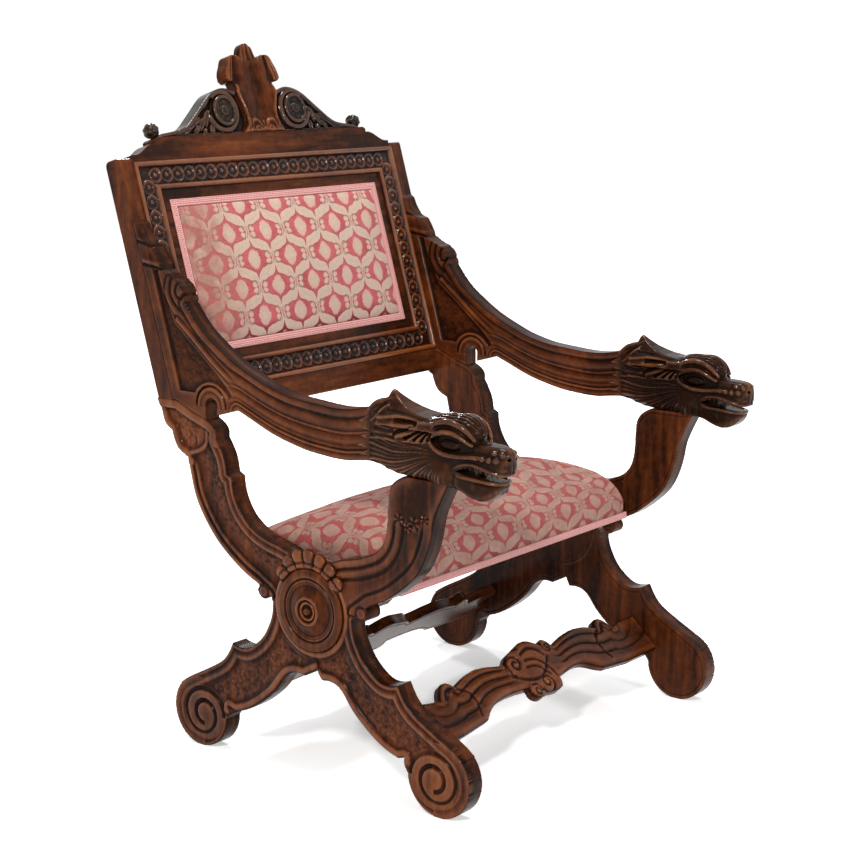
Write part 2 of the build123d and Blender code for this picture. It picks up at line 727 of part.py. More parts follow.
# ---------------------------------------------------------------- arms
wing_scroll = [(316.0, 853.0), (310.7, 841.0), (303.6, 830.0), (293.0, 821.0), (282.0, 817.5)]
wing_cove = [(282.0, 817.5), (271.4, 801.4), (262.5, 785.4), (246.4, 774.6), (228.6, 767.5)]
wing_nose = [(228.6, 767.5), (219.6, 760.0), (212.5, 748.0), (209.0, 733.6)]
arm_top = [
    (209.0, 733.6), (196.4, 717.5), (178.6, 698.0), (150.0, 676.4), (128.6, 662.0), (96.4, 644.3),
    (67.9, 631.8), (42.9, 621.8), (16.0, 614.0), (-12.0, 608.0), (-57.0, 603.5), (-100.0, 600.6),
    (-132.0, 602.0), (arm_end_y, arm_end_top_z),
]
arm_bottom = [
    (arm_end_y, arm_end_bottom_z), (-147.0, 526.5), (-129.0, 524.0), (-106.0, 523.5), (-72.0, 525.6),
    (-42.4, 529.0), (-13.0, 535.0), (16.5, 542.4), (46.0, 552.6), (75.3, 564.4), (98.8, 573.3),
]
arm_heel = (137.0, 562.0)
tenon_place = Plane((frame_half_width - side_thickness / 2, arm_end_y, neck_tenon_z), x_dir=(1, 0, 0),
                    z_dir=(0, -1, 0))

with BuildPart() as arm_l:
    with BuildSketch(Plane.YZ.offset(inner_face)):
        with BuildLine():
            Line((face_y(wing_top_z), wing_top_z), wing_scroll[0])
            Spline(*wing_scroll)
            Spline(*wing_cove)
            Spline(*wing_nose)
            Spline(*arm_top)
            Line(arm_top[-1], arm_bottom[0])
            Spline(*arm_bottom)
            Polyline(arm_bottom[-1], arm_heel, (arch_y - arch_radius, arch_foot_z),
                     (arch_y - arch_radius, arch_z))
            ThreePointArc((arch_y - arch_radius, arch_z), (arch_y, arch_z + arch_radius),
                          (arch_y + arch_radius, arch_z))
            Polyline((arch_y + arch_radius, arch_z), (arch_y + arch_radius, arm_foot_z),
                     (face_y(post_seat_z), arm_foot_back_z), (face_y(post_seat_z), post_seat_z),
                     (face_y(wing_top_z), wing_top_z))
        make_face()
        with Locations((0.0, seat_curve_gap)):
            add(post_profile(), mode=Mode.SUBTRACT)
    extrude(amount=side_thickness)
    slab(inner_face - 1.0, mould_half_width + mould_body_gap, mould_bottom_s - lip_cut_below, mould_top_s,
         -1.0, mould_bead + mould_body_gap, Mode.SUBTRACT)
    with BuildSketch(tenon_place):
        Circle(neck_tenon_radius)
    extrude(amount=neck_tenon_length)

# ---------------------------------------------------------------- beast heads
head_back_y = arm_end_y - head_joint_gap
head_x = frame_half_width - side_thickness / 2
head_seat_y = (support_top_back_y + support_top_front_y) / 2

# rings of the head from the neck forward: y, bottom, top, half width, corner radius
head_rings = [
    (head_back_y, 529.0, 609.0, 16.5, 2.0), (-188.0, 525.6, 624.0, 20.0, 12.0),
    (-205.0, 521.0, 631.0, 24.0, 17.0), (-222.0, 518.0, 627.0, 27.0, 21.0),
    (-240.0, 514.0, 617.0, 29.0, 24.0), (-262.0, 514.0, 610.0, 31.0, 26.0),
    (-290.0, 514.0, 609.5, head_half_width, 28.0), (-322.0, 514.0, 614.0, head_half_width, 28.0),
    (-340.0, 506.0, 616.5, 32.0, 26.0), (-352.0, 501.0, 614.5, 31.0, 25.0),
    (-360.0, 498.0, 607.0, 30.0, 24.0), (-367.0, 496.5, 593.0, 29.0, 22.0),
    (-375.0, 495.0, 583.0, 28.0, 20.0), (-386.0, 497.0, 581.0, 26.5, 19.0),
    (-395.0, 503.0, 579.5, 24.5, 18.0), (-403.0, 517.0, 578.0, 23.5, 17.0),
]
snout_rings = [(-390.0, 547.0, 583.0, 25.0, 15.0), (-411.5, 546.0, 577.5, 22.5, 13.0),
               (-419.0, 551.0, 576.0, 19.0, 11.0), (head_nose_y, 557.0, 572.0, 13.0, 6.5)]
head_mouth = [(-440.0, 549.0), (-408.0, 547.0), (-385.0, 549.0), (-355.0, 550.0), (-331.0, 541.0),
              (-355.0, 536.0), (-385.0, 533.0), (-404.0, 526.0), (-440.0, 520.0)]
ear_side = [(-186.0, 620.0), (-196.0, 636.0), (-206.5, 640.5), (-216.0, 638.0), (-230.0, 629.0),
            (-240.0, 619.0)]


def head_loft(rings):
    """Rounded sections joined along the head, made in the open part."""
    for y, low, high, half, corner in rings:
        with BuildSketch(Plane((head_x, y, (low + high) / 2), x_dir=(1, 0, 0), z_dir=(0, -1, 0))) as ring:
            RectangleRounded(2 * half, high - low, corner)
        yield ring.sketch


with BuildPart() as beast_head_l:
    loft(sections=list(head_loft(head_rings)), ruled=True)
    loft(sections=list(head_loft(snout_rings)), ruled=True)
    # flat seat on the support
    with Locations((head_x, head_seat_y, support_top_z + head_seat_height / 2)):
        Box(side_thickness, support_top_back_y - support_top_front_y, head_seat_height)
    # crest of hair, and the ears beside it
    with BuildSketch(Plane.YZ.offset(head_x - ear_half_width)):
        with BuildLine():
            Spline(*ear_side)
            Line(ear_side[-1], ear_side[0])
        make_face()
    extrude(amount=2 * ear_half_width)
    for start, way in ((head_x - head_half_width, 1), (head_x + head_half_width, -1)):
        with BuildSketch(Plane.YZ.offset(start)):
            with BuildLine():
                Polyline(*head_mouth, close=True)
            make_face()
        extrude(amount=way * (mouth_depth + 8.0), mode=Mode.SUBTRACT)
        with Locations((start, eye_y, eye_z)):
            Sphere(eye_radius, mode=Mode.SUBTRACT)
    with BuildSketch(tenon_place):
        Circle(neck_tenon_radius + dowel_clearance)
    extrude(amount=neck_tenon_length + dowel_end_gap, mode=Mode.SUBTRACT)

# upright dowel between the front support and the head
dowel_place = Plane((head_x, head_seat_y, support_top_z))
with BuildPart() as arm_dowel_l:
    with BuildSketch(dowel_place.offset(-arm_dowel_length / 2)):
        Circle(arm_dowel_radius)
    extrude(amount=arm_dowel_length)

for holder in (beast_head_l, cross_leg_arm_l):
    with holder:
        with BuildSketch(dowel_place.offset(-arm_dowel_length / 2 - dowel_end_gap)):
            Circle(arm_dowel_radius + dowel_clearance)
        extrude(amount=arm_dowel_length + 2 * dowel_end_gap, mode=Mode.SUBTRACT)

# dowel along the rake between the rear post and the stile
stile_dowel_place = Plane((head_x, face_y(post_seat_z) + rear_run / 2, post_seat_z), x_dir=(1, 0, 0),
                          z_dir=up_rake)
with BuildPart() as stile_dowel_l:
    with BuildSketch(stile_dowel_place.offset(-stile_dowel_length / 2)):
        Circle(stile_dowel_radius)
    extrude(amount=stile_dowel_length)

for holder in (back_stile_l, cross_leg_post_l):
    with holder:
        with BuildSketch(stile_dowel_place.offset(-stile_dowel_length / 2 - dowel_end_gap)):
            Circle(stile_dowel_radius + dowel_clearance)
        extrude(amount=stile_dowel_length + 2 * dowel_end_gap, mode=Mode.SUBTRACT)

# ---------------------------------------------------------------- stretchers
tilt = math.radians(stretcher_tilt)


def stretcher_plane(way, depth):
    """Plane of a stretcher, some depth behind its outer face; way is -1 in front, +1 at the rear."""
    y = way * (mirror_y - stretcher_y) + mirror_y
    normal = Vector(0, way * math.cos(math.pi / 2 - tilt), math.sin(math.pi / 2 - tilt))
    return Plane(Vector(0, y, stretcher_z) - normal * depth, x_dir=(-way, 0, 0), z_dir=normal)


stretcher_end_high = 38.0
stretcher_end_low = -34.0
stretcher_top = [
    [(-238.0, 33.0), (-224.0, 50.0), (-212.0, 57.0), (-200.0, 56.0), (-190.0, 46.0)],
    [(-190.0, 46.0), (-165.0, 53.0), (-130.0, 58.0), (-95.0, 55.0), (-66.0, 48.0), (-55.0, 47.0)],
    [(-55.0, 47.0), (-42.0, 57.0), (-15.0, 65.0), (10.0, 71.0), (28.0, 68.0), (42.0, 60.0), (48.0, 56.0)],
    [(48.0, 56.0), (61.0, 62.0), (72.0, 57.0), (78.0, 46.0)],
    [(78.0, 46.0), (100.0, 52.0), (130.0, 57.0), (158.0, 58.0), (185.0, 54.0), (208.0, 46.0)],
    [(208.0, 46.0), (218.0, 57.0), (230.0, 58.0), (242.0, 50.0), (252.0, 34.0)],
]
stretcher_under = [
    [(-165.0, -27.0), (-140.0, -12.0), (-110.0, -5.0), (-75.0, -4.0), (-37.0, -7.0)],
    [(-37.0, -7.0), (-38.0, -19.0), (-28.0, -28.0), (-2.0, -27.0), (24.0, -29.0), (41.0, -25.0),
     (47.0, -9.0)],
    [(47.0, -9.0), (75.0, -6.0), (105.0, -3.0), (130.0, -8.0), (150.0, -19.0), (168.0, -27.0)],
]


stretch = inner_face / stretcher_drawn_half
stretcher_left = [(-165.0, -27.0), (-235.0, stretcher_end_low)]
stretcher_left_top = [(-272.0, stretcher_end_high), (-238.0, 33.0)]
stretcher_right_top = [(252.0, 34.0), (282.0, stretcher_end_high)]
stretcher_right = [(240.0, stretcher_end_low), (168.0, -27.0)]


def along_board(run):
    """Points of the outline, spread over the length between the side frames."""
    return [(x * stretch, s) for x, s in run]


def stretcher_board(way):
    """Board with its tenons, made in the open part."""
    with BuildSketch(stretcher_plane(way, stretcher_thickness)) as outline:
        with BuildLine():
            Polyline(*along_board(stretcher_left), (-inner_face, stretcher_end_low),
                     (-inner_face, stretcher_end_high), *along_board(stretcher_left_top))
            for run in stretcher_top + stretcher_under:
                Spline(*along_board(run))
            Polyline(*along_board(stretcher_right_top), (inner_face, stretcher_end_high),
                     (inner_face, stretcher_end_low), *along_board(stretcher_right))
        make_face()
    extrude(outline.sketch, amount=stretcher_thickness)
    stretcher_tenons(way, 0.0, Mode.ADD)


def stretcher_tenons(way, grow, mode):
    """Both tenons of a stretcher, or with some growth their mortises."""
    middle = (stretcher_thickness + stretcher_tenon_thick) / 2 + grow
    reach = inner_face + stretcher_tenon_length + grow
    with BuildSketch(stretcher_plane(way, middle)) as ends:
        for side in (-1, 1):
            with Locations((side * (reach + inner_face - tenon_root) / 2, 0.0)):
                Rectangle(reach - inner_face + tenon_root, stretcher_tenon_height + 2 * grow)
    extrude(ends.sketch, amount=stretcher_tenon_thick + 2 * grow, mode=mode)


with BuildPart() as front_stretcher:
    stretcher_board(-1)

with BuildPart() as rear_stretcher:
    stretcher_board(1)

with cross_leg_post_l:
    stretcher_tenons(-1, tenon_clearance, Mode.SUBTRACT)

with cross_leg_arm_l:
    stretcher_tenons(1, tenon_clearance, Mode.SUBTRACT)

# ---------------------------------------------------------------- seat
rail_out_x = seat_half_width - seat_cover_thickness
rail_front_y = seat_front_y + seat_cover_thickness
rail_back_y = seat_back_y - seat_cover_thickness
rail_top_z = seat_bottom_z + seat_rail_height
side_front_y = rail_front_y + seat_rail_thickness
side_back_y = rail_back_y - seat_rail_thickness
side_x = rail_out_x - seat_rail_thickness / 2
side_mid_z = seat_bottom_z + seat_rail_height / 2


def block(x0, x1, y0, y1, z0, z1, mode=Mode.ADD):
    """Square block, made in the open part."""
    with Locations(((x0 + x1) / 2, (y0 + y1) / 2, (z0 + z1) / 2)):
        Box(x1 - x0, y1 - y0, z1 - z0, mode=mode)


def side_tenons(sides, grow, mode):
    """Tenons at both ends of a side rail of the seat, or their mortises."""
    for side in sides:
        block(side * side_x - seat_tenon_thick / 2 - grow, side * side_x + seat_tenon_thick / 2 + grow,
              side_front_y - seat_tenon_length - grow, side_back_y + seat_tenon_length + grow,
              side_mid_z - seat_tenon_height / 2 - grow, side_mid_z + seat_tenon_height / 2 + grow, mode)


with BuildPart() as seat_rail_front:
    block(-rail_out_x, rail_out_x, rail_front_y, side_front_y, seat_bottom_z, rail_top_z)
    side_tenons((-1, 1), tenon_clearance, Mode.SUBTRACT)

with BuildPart() as seat_rail_rear:
    block(-rail_out_x, rail_out_x, side_back_y, rail_back_y, seat_bottom_z, rail_top_z)
    side_tenons((-1, 1), tenon_clearance, Mode.SUBTRACT)

with BuildPart() as seat_rail_l:
    side_tenons((1,), 0.0, Mode.ADD)
    block(side_x - seat_rail_thickness / 2, rail_out_x, side_front_y, side_back_y, seat_bottom_z, rail_top_z)

with BuildPart() as seat_bearer_l:
    block(inner_face - bearer_gap - bearer_width, inner_face - bearer_gap, bearer_front_y, bearer_back_y,
          seat_bottom_z - bearer_height, seat_bottom_z)
    chamfer(seat_bearer_l.edges().filter_by(Axis.X).group_by(Axis.Z)[0], bearer_chamfer)

with BuildPart() as seat_webbing:
    web_top = rail_top_z + webbing_thick
    first_y = side_front_y + webbing_front_gap
    last_y = side_back_y - webbing_back_gap
    for y in (first_y, (first_y + last_y) / 2, last_y):
        block(-side_x - webbing_lap / 2, side_x + webbing_lap / 2, y - webbing_width / 2,
              y + webbing_width / 2, rail_top_z, web_top)
    strap_x = side_x - webbing_side_gap
    for x in (-strap_x, -strap_x / 3, strap_x / 3, strap_x):
        block(x - webbing_width / 2, x + webbing_width / 2, side_front_y - webbing_lap,
              side_back_y + webbing_lap, rail_top_z, web_top)

# stuffed seat with its cover turned down over the rails
cushion_z = rail_top_z + webbing_thick + soft_gap
skirt_z = seat_bottom_z + soft_gap
seat_edge_z = cushion_z + seat_edge_rise
seat_crown_z = seat_edge_z + seat_crown_height
seat_side_top = [
    (seat_front_y, seat_edge_z), (seat_front_y + 2.0, seat_edge_z + 13.0),
    (seat_front_y + 9.0, seat_edge_z + 28.0), (seat_front_y + 22.0, seat_edge_z + 38.0),
    (seat_front_y + 45.0, seat_edge_z + 46.0), (seat_front_y + 95.0, seat_edge_z + 51.0),
    (seat_front_y + 140.0, seat_edge_z + 52.0), (seat_back_y - 116.0, seat_edge_z + 44.0),
    (seat_back_y - 76.0, seat_edge_z + 34.0), (seat_back_y - 36.0, seat_edge_z + 21.0),
    (seat_back_y - 11.0, seat_edge_z + 7.0), (seat_back_y, seat_edge_z - 2.5),
]
seat_middle_top = [
    (seat_front_y, seat_edge_z + 6.0), (seat_front_y + 1.0, seat_edge_z + 21.0),
    (seat_front_y + 8.0, seat_edge_z + 39.0), (seat_front_y + 23.0, seat_edge_z + 51.0),
    (seat_front_y + 45.0, seat_edge_z + 59.0), (seat_front_y + 95.0, seat_crown_z - 0.5),
    (seat_front_y + 140.0, seat_crown_z), (seat_back_y - 116.0, seat_crown_z - 16.5),
    (seat_back_y - 76.0, seat_edge_z + 38.0), (seat_back_y - 36.0, seat_edge_z + 24.0),
    (seat_back_y - 11.0, seat_edge_z + 10.0), (seat_back_y, seat_edge_z - 1.0),
]

with BuildPart() as seat_pad:
    for side, top in ((-1, seat_side_top), (0, seat_middle_top), (1, seat_side_top)):
        with BuildSketch(Plane.YZ.offset(side * seat_half_width)):
            with BuildLine():
                Spline(*top)
                Polyline(top[-1], (seat_back_y, cushion_z), (seat_front_y, cushion_z), top[0])
            make_face()
    loft()
    block(-seat_half_width, seat_half_width, seat_front_y, seat_back_y, skirt_z, cushion_z)
    block(-rail_out_x - soft_gap, rail_out_x + soft_gap, rail_front_y - soft_gap, rail_back_y + soft_gap,
          skirt_z - 1.0, cushion_z, Mode.SUBTRACT)

with BuildPart() as seat_gimp:
    for spread, mode in ((soft_gap + seat_gimp_thick, Mode.ADD), (soft_gap, Mode.SUBTRACT)):
        block(-seat_half_width - spread, seat_half_width + spread, seat_front_y - spread,
              seat_back_y + spread, skirt_z, skirt_z + seat_gimp_height, mode)

dust_half_width = side_x - seat_rail_thickness / 2 + dust_side_lap
with BuildPart() as dust_cover:
    block(-dust_half_width, dust_half_width, side_front_y - dust_lap, side_back_y + dust_lap,
          seat_bottom_z - dust_thick, seat_bottom_z)


# ---------------------------------------------------------------- right-hand pieces and export
left_pieces = {
    "cross_leg_post": cross_leg_post_l, "cross_leg_arm": cross_leg_arm_l, "boss": boss_l,
    "shell": shell_l, "back_stile": back_stile_l, "stile_dowel": stile_dowel_l, "arm": arm_l,
    "beast_head": beast_head_l, "arm_dowel": arm_dowel_l, "rosette": rosette_l,
    "crest_ball": crest_ball_l, "mould": mould_l, "seat_rail": seat_rail_l,
    "seat_bearer": seat_bearer_l,
}
middle_pieces = {
    "front_stretcher": front_stretcher, "rear_stretcher": rear_stretcher, "bottom_rail": bottom_rail,
    "top_rail": top_rail, "mould_top": mould_top, "mould_bottom": mould_bottom,
    "back_panel": back_panel, "back_pad": back_pad, "back_gimp": back_gimp,
    "crest_board": crest_board, "crest_shield": crest_shield, "seat_rail_front": seat_rail_front,
    "seat_rail_rear": seat_rail_rear, "seat_webbing": seat_webbing, "seat_pad": seat_pad,
    "seat_gimp": seat_gimp, "dust_cover": dust_cover,
}


def save(node, shape):
    """Label a piece and write its STEP file."""
    shape.label = node
    export_step(shape, "parts/" + node + ".step")


for node, built in middle_pieces.items():
    save(node, built.part)

for node, built in left_pieces.items():
    save(node + "_l", built.part)
    with BuildPart() as right_piece:
        mirror(built.part, about=Plane.YZ)
    save(node + "_r", right_piece.part)
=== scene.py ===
import bpy
import math
import numpy as np
from mathutils import Matrix, Vector


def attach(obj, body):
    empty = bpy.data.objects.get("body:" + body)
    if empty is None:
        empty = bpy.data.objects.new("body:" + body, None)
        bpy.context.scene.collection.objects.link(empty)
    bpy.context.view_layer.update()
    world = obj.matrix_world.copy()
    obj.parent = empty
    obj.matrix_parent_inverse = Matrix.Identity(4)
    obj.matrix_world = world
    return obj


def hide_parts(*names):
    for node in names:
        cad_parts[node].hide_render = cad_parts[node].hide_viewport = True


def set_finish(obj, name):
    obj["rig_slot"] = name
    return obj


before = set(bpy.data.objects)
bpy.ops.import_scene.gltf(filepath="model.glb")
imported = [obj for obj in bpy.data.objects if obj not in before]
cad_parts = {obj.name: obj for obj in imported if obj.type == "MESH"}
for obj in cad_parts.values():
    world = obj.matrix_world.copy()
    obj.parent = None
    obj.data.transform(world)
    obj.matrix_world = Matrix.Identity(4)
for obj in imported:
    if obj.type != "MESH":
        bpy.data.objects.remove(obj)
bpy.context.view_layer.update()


def add_object(name, data):
    """New object in the scene."""
    thing = bpy.data.objects.new(name, data)
    bpy.context.scene.collection.objects.link(thing)
    return thing


# ------------------------------------------------------------------ camera
camera_right = Vector((0.62264, -0.78251, 0.0))
camera_up = Vector((0.15361, 0.12223, 0.98054))
camera_back = Vector((-0.76728, -0.61052, 0.19630))
camera_place = (-2.4541, -1.9573, 1.1261)
camera_roll = -0.00249
focal_length = 79.44
camera = add_object("camera", bpy.data.cameras.new("camera"))
camera.data.sensor_width = 36.0
camera.data.lens = focal_length
camera_turn = Matrix((camera_right, camera_up, camera_back)).transposed().to_4x4()
camera.matrix_world = Matrix.Translation(camera_place) @ camera_turn @ Matrix.Rotation(camera_roll, 4, "Z")
bpy.context.scene.camera = camera


# ------------------------------------------------------------------ node formulas
class Shader:
    """Short way to write the nodes of a material or a world."""

    def __init__(self, owner):
        owner.use_nodes = True
        self.owner, self.tree = owner, owner.node_tree
        self.tree.nodes.clear()

    def feed(self, socket, value):
        """Links the value to the socket, or sets it there when it is a number or a colour."""
        if isinstance(value, bpy.types.NodeSocket):
            self.tree.links.new(value, socket)
        else:
            socket.default_value = value

    def node(self, kind, *first, **inputs):
        """Node with its first inputs in order and others by name, with _ for a space."""
        n = self.tree.nodes.new("ShaderNode" + kind)
        for socket, value in zip(n.inputs, first):
            self.feed(socket, value)
        for key, value in inputs.items():
            self.feed(n.inputs[key.replace("_", " ")], value)
        return n

    def math(self, op, *args):
        n = self.node("Math", *args)
        n.operation = op
        return n.outputs[0]

    def clamp(self, x, low, high):
        """The value, kept between low and high."""
        return self.math("MINIMUM", self.math("MAXIMUM", x, low), high)

    def smoothstep(self, x, low, high, start=0.0, end=1.0):
        """Goes smoothly from start at low to end at high."""
        n = self.node("MapRange", Value=x, From_Min=low, From_Max=high, To_Min=start, To_Max=end)
        n.interpolation_type = "SMOOTHSTEP"
        return n.outputs[0]

    def attribute(self, name, output):
        n = self.node("Attribute")
        n.attribute_name = name
        return n.outputs[output]

    def ramp(self, x, *stops):
        """Colour ramp through (position, colour) stops."""
        n = self.node("ValToRGB", x)
        e = n.color_ramp.elements
        while len(e) < len(stops):
            e.new(0.5)
        for s, (p, c) in zip(e, stops):
            s.position = p
            s.color = (*c, 1)
        return n.outputs[0]

    def mix(self, f, a, b):
        """Colour a turning to b as f goes from 0 to 1."""
        n = self.node("Mix")
        n.data_type = "RGBA"
        for i, x in ((0, f), (6, a), (7, b)):
            self.feed(n.inputs[i], (*x, 1) if isinstance(x, tuple) else x)
        return n.outputs[2]

    def noise(self, where, scale, detail=4.0, rough=0.55):
        return self.node("TexNoise", Vector=where, Scale=scale, Detail=detail, Roughness=rough).outputs[0]

    def seen_rays(self):
        """1 for rays that show the background: from the camera, in reflections and through glass."""
        path = self.node("LightPath")
        total = path.outputs["Is Camera Ray"]
        for kind in ("Is Glossy Ray", "Is Transmission Ray"):
            total = self.math("MAXIMUM", total, path.outputs[kind])
        return total

    def finish(self, shader, kind="Material"):
        self.node("Output" + kind, shader.outputs[0])
        return self.owner


# ------------------------------------------------------------------ stage and light
def area_light(name, place, target, size, power, colour=(1, 1, 1)):
    """Rectangular lamp that points at the target."""
    lamp = add_object(name, bpy.data.lights.new(name, "AREA"))
    lamp.data.shape = "RECTANGLE"
    lamp.data.size, lamp.data.size_y = size
    lamp.data.energy = power
    lamp.data.color = colour
    lamp.location = place
    lamp.rotation_euler = (Vector(target) - Vector(place)).to_track_quat("-Z", "Y").to_euler()


white = (1, 1, 1, 1)
studio = Shader(bpy.data.worlds.new("studio"))
lighting = studio.node("Background", Color=white, Strength=0.4)
backdrop = studio.node("Background", Color=white, Strength=1.0)
bpy.context.scene.world = studio.finish(studio.node("MixShader", studio.seen_rays(), lighting.outputs[0],
                                                    backdrop.outputs[0]), "World")

bpy.ops.mesh.primitive_plane_add(size=14.0, location=(0, 0, -0.0005))
floor = bpy.context.object
floor.name = "floor"
# the paper glows to white away from the chair, so its shadow fades out
paper = Shader(bpy.data.materials.new("paper"))
matt = paper.node("BsdfDiffuse", Color=(0.9, 0.9, 0.9, 1))
far = paper.node("VectorMath", paper.node("TexCoord").outputs["Object"])
far.operation = "LENGTH"
rise = paper.smoothstep(far.outputs["Value"], 0.8, 3.0, 0.42, 1.0)
glow = paper.node("Emission", Color=white, Strength=paper.math("MULTIPLY", paper.seen_rays(), rise))
floor.data.materials.append(paper.finish(paper.node("AddShader", matt.outputs[0], glow.outputs[0])))

area_light("key", (-2.9, -1.2, 2.5), (0, 0, 0.5), (0.34, 0.34), 84, (1.0, 0.97, 0.93))
area_light("top", (0.3, 0.2, 3.2), (0, 0, 0.6), (0.55, 0.55), 42)
area_light("fill", (-0.6, -3.6, 1.6), (0, 0, 0.5), (0.45, 0.45), 42)
area_light("rim", (1.9, 2.3, 2.4), (0, 0, 0.6), (0.4, 0.4), 50)


# ------------------------------------------------------------------ curves and distances, millimetres
def smooth(points, step=2.5):
    """Natural cubic curve through the points, as a dense polyline."""
    p = np.array(points, float)
    t = np.concatenate([[0], np.cumsum(np.linalg.norm(np.diff(p, axis=0), axis=1))])
    n = len(p)
    h = np.diff(t)
    a = np.eye(n)
    b = np.zeros((n, p.shape[1]))
    for i in range(1, n - 1):
        a[i, i - 1:i + 2] = h[i - 1], 2 * (h[i - 1] + h[i]), h[i]
        b[i] = 6 * ((p[i + 1] - p[i]) / h[i] - (p[i] - p[i - 1]) / h[i - 1])
    m = np.linalg.solve(a, b)
    s = np.linspace(0, t[-1], max(2, int(t[-1] / step) + 1))
    k = np.clip(np.searchsorted(t, s) - 1, 0, n - 2)
    x, y = (t[k + 1] - s)[:, None], (s - t[k])[:, None]
    g = h[k][:, None]
    bend = (m[k] * x**3 + m[k + 1] * y**3) / (6 * g)
    return bend + (p[k] / g - m[k] * g / 6) * x + (p[k + 1] / g - m[k + 1] * g / 6) * y


def line(*runs):
    """One polyline from several point lists."""
    return np.concatenate([np.array(r, float) for r in runs])


def away(u, v, poly, closed=False):
    """Distance of every grid point from a polyline."""
    p = np.asarray(poly, float)
    q = np.roll(p, -1, axis=0) if closed else p[1:]
    best = np.full(u.shape, 1e12)
    for (x0, y0), (x1, y1) in zip(p, q):
        dx, dy = x1 - x0, y1 - y0
        t = np.clip(((u - x0) * dx + (v - y0) * dy) / max(dx * dx + dy * dy, 1e-9), 0, 1)
        np.minimum(best, (u - x0 - t * dx)**2 + (v - y0 - t * dy)**2, out=best)
    return np.sqrt(best)


def inside(u, v, poly):
    """Signed distance to a closed outline, positive within it."""
    p = np.asarray(poly, float)
    odd = np.zeros(u.shape, bool)
    for (x0, y0), (x1, y1) in zip(p, np.roll(p, -1, axis=0)):
        if y0 != y1:
            odd ^= ((y0 > v) != (y1 > v)) & (u < (x1 - x0) * (v - y0) / (y1 - y0) + x0)
    return np.where(odd, 1.0, -1.0) * away(u, v, p, True)


def grid(u0, u1, v0, v1, pitch):
    """Square grid: its u and its v."""
    return np.meshgrid(np.arange(u0, u1 + pitch, pitch), np.arange(v0, v1 + pitch, pitch), indexing="ij")


def blur(f, n, times=2):
    """Box mean of a grid or a volume over 2n+1 cells along each axis, some times over."""
    k = 2 * n + 1
    for _ in range(times):
        for axis in range(f.ndim):
            pad = [(0, 0)] * f.ndim
            pad[axis] = (n + 1, n)
            c = np.moveaxis(np.cumsum(np.pad(f, pad, mode="edge"), axis=axis), axis, 0)
            f = np.moveaxis((c[k:] - c[:-k]) / k, 0, axis)
    return f


def ramp(x, a, b):
    """Smooth step from 0 at a to 1 at b."""
    t = np.clip((x - a) / (b - a), 0, 1)
    return t * t * (3 - 2 * t)


def speckle(u, v, size, seed):
    """Lumpy chisel texture between -1 and 1."""
    rng = np.random.default_rng(seed)
    total = 0
    for k in range(3):
        cell = size / (1.0, 1.7, 2.9)[k]
        iu, iv = (u - u.min()) / cell, (v - v.min()) / cell
        n = rng.uniform(-1, 1, (int(iu.max()) + 3, int(iv.max()) + 3))
        i, j = iu.astype(int), iv.astype(int)
        x, y = iu - i, iv - j
        x, y = x * x * (3 - 2 * x), y * y * (3 - 2 * y)
        total = total + (n[i, j] * (1 - x) * (1 - y) + n[i + 1, j] * x * (1 - y) + n[i, j + 1] * (1 - x) * y
                         + n[i + 1, j + 1] * x * y) * (1.0, 0.7, 0.5)[k]
    return total / 1.6


def strokes(u, v, *runs):
    """Sum of rounded ridges and grooves along curves: points, half width, height."""
    total = np.zeros(u.shape)
    for points, wide, high in runs:
        curve = smooth(points) if len(points) > 2 else points
        total += high * np.exp(-(away(u, v, curve) / wide)**2)
    return total


def eased(h, d, r=4.0, drop=1.2):
    """Relief with its outer edge rounded over."""
    return h - drop * (1 - np.sqrt(1 - (1 - np.clip(d / r, 0, 1))**2 * 0.999))


def plain_face(d):
    """Flat face with a fine line cut inside its edge."""
    return eased(-0.8 * np.exp(-((d - 7.0) / 1.2)**2), d, 3.0, 1.3)


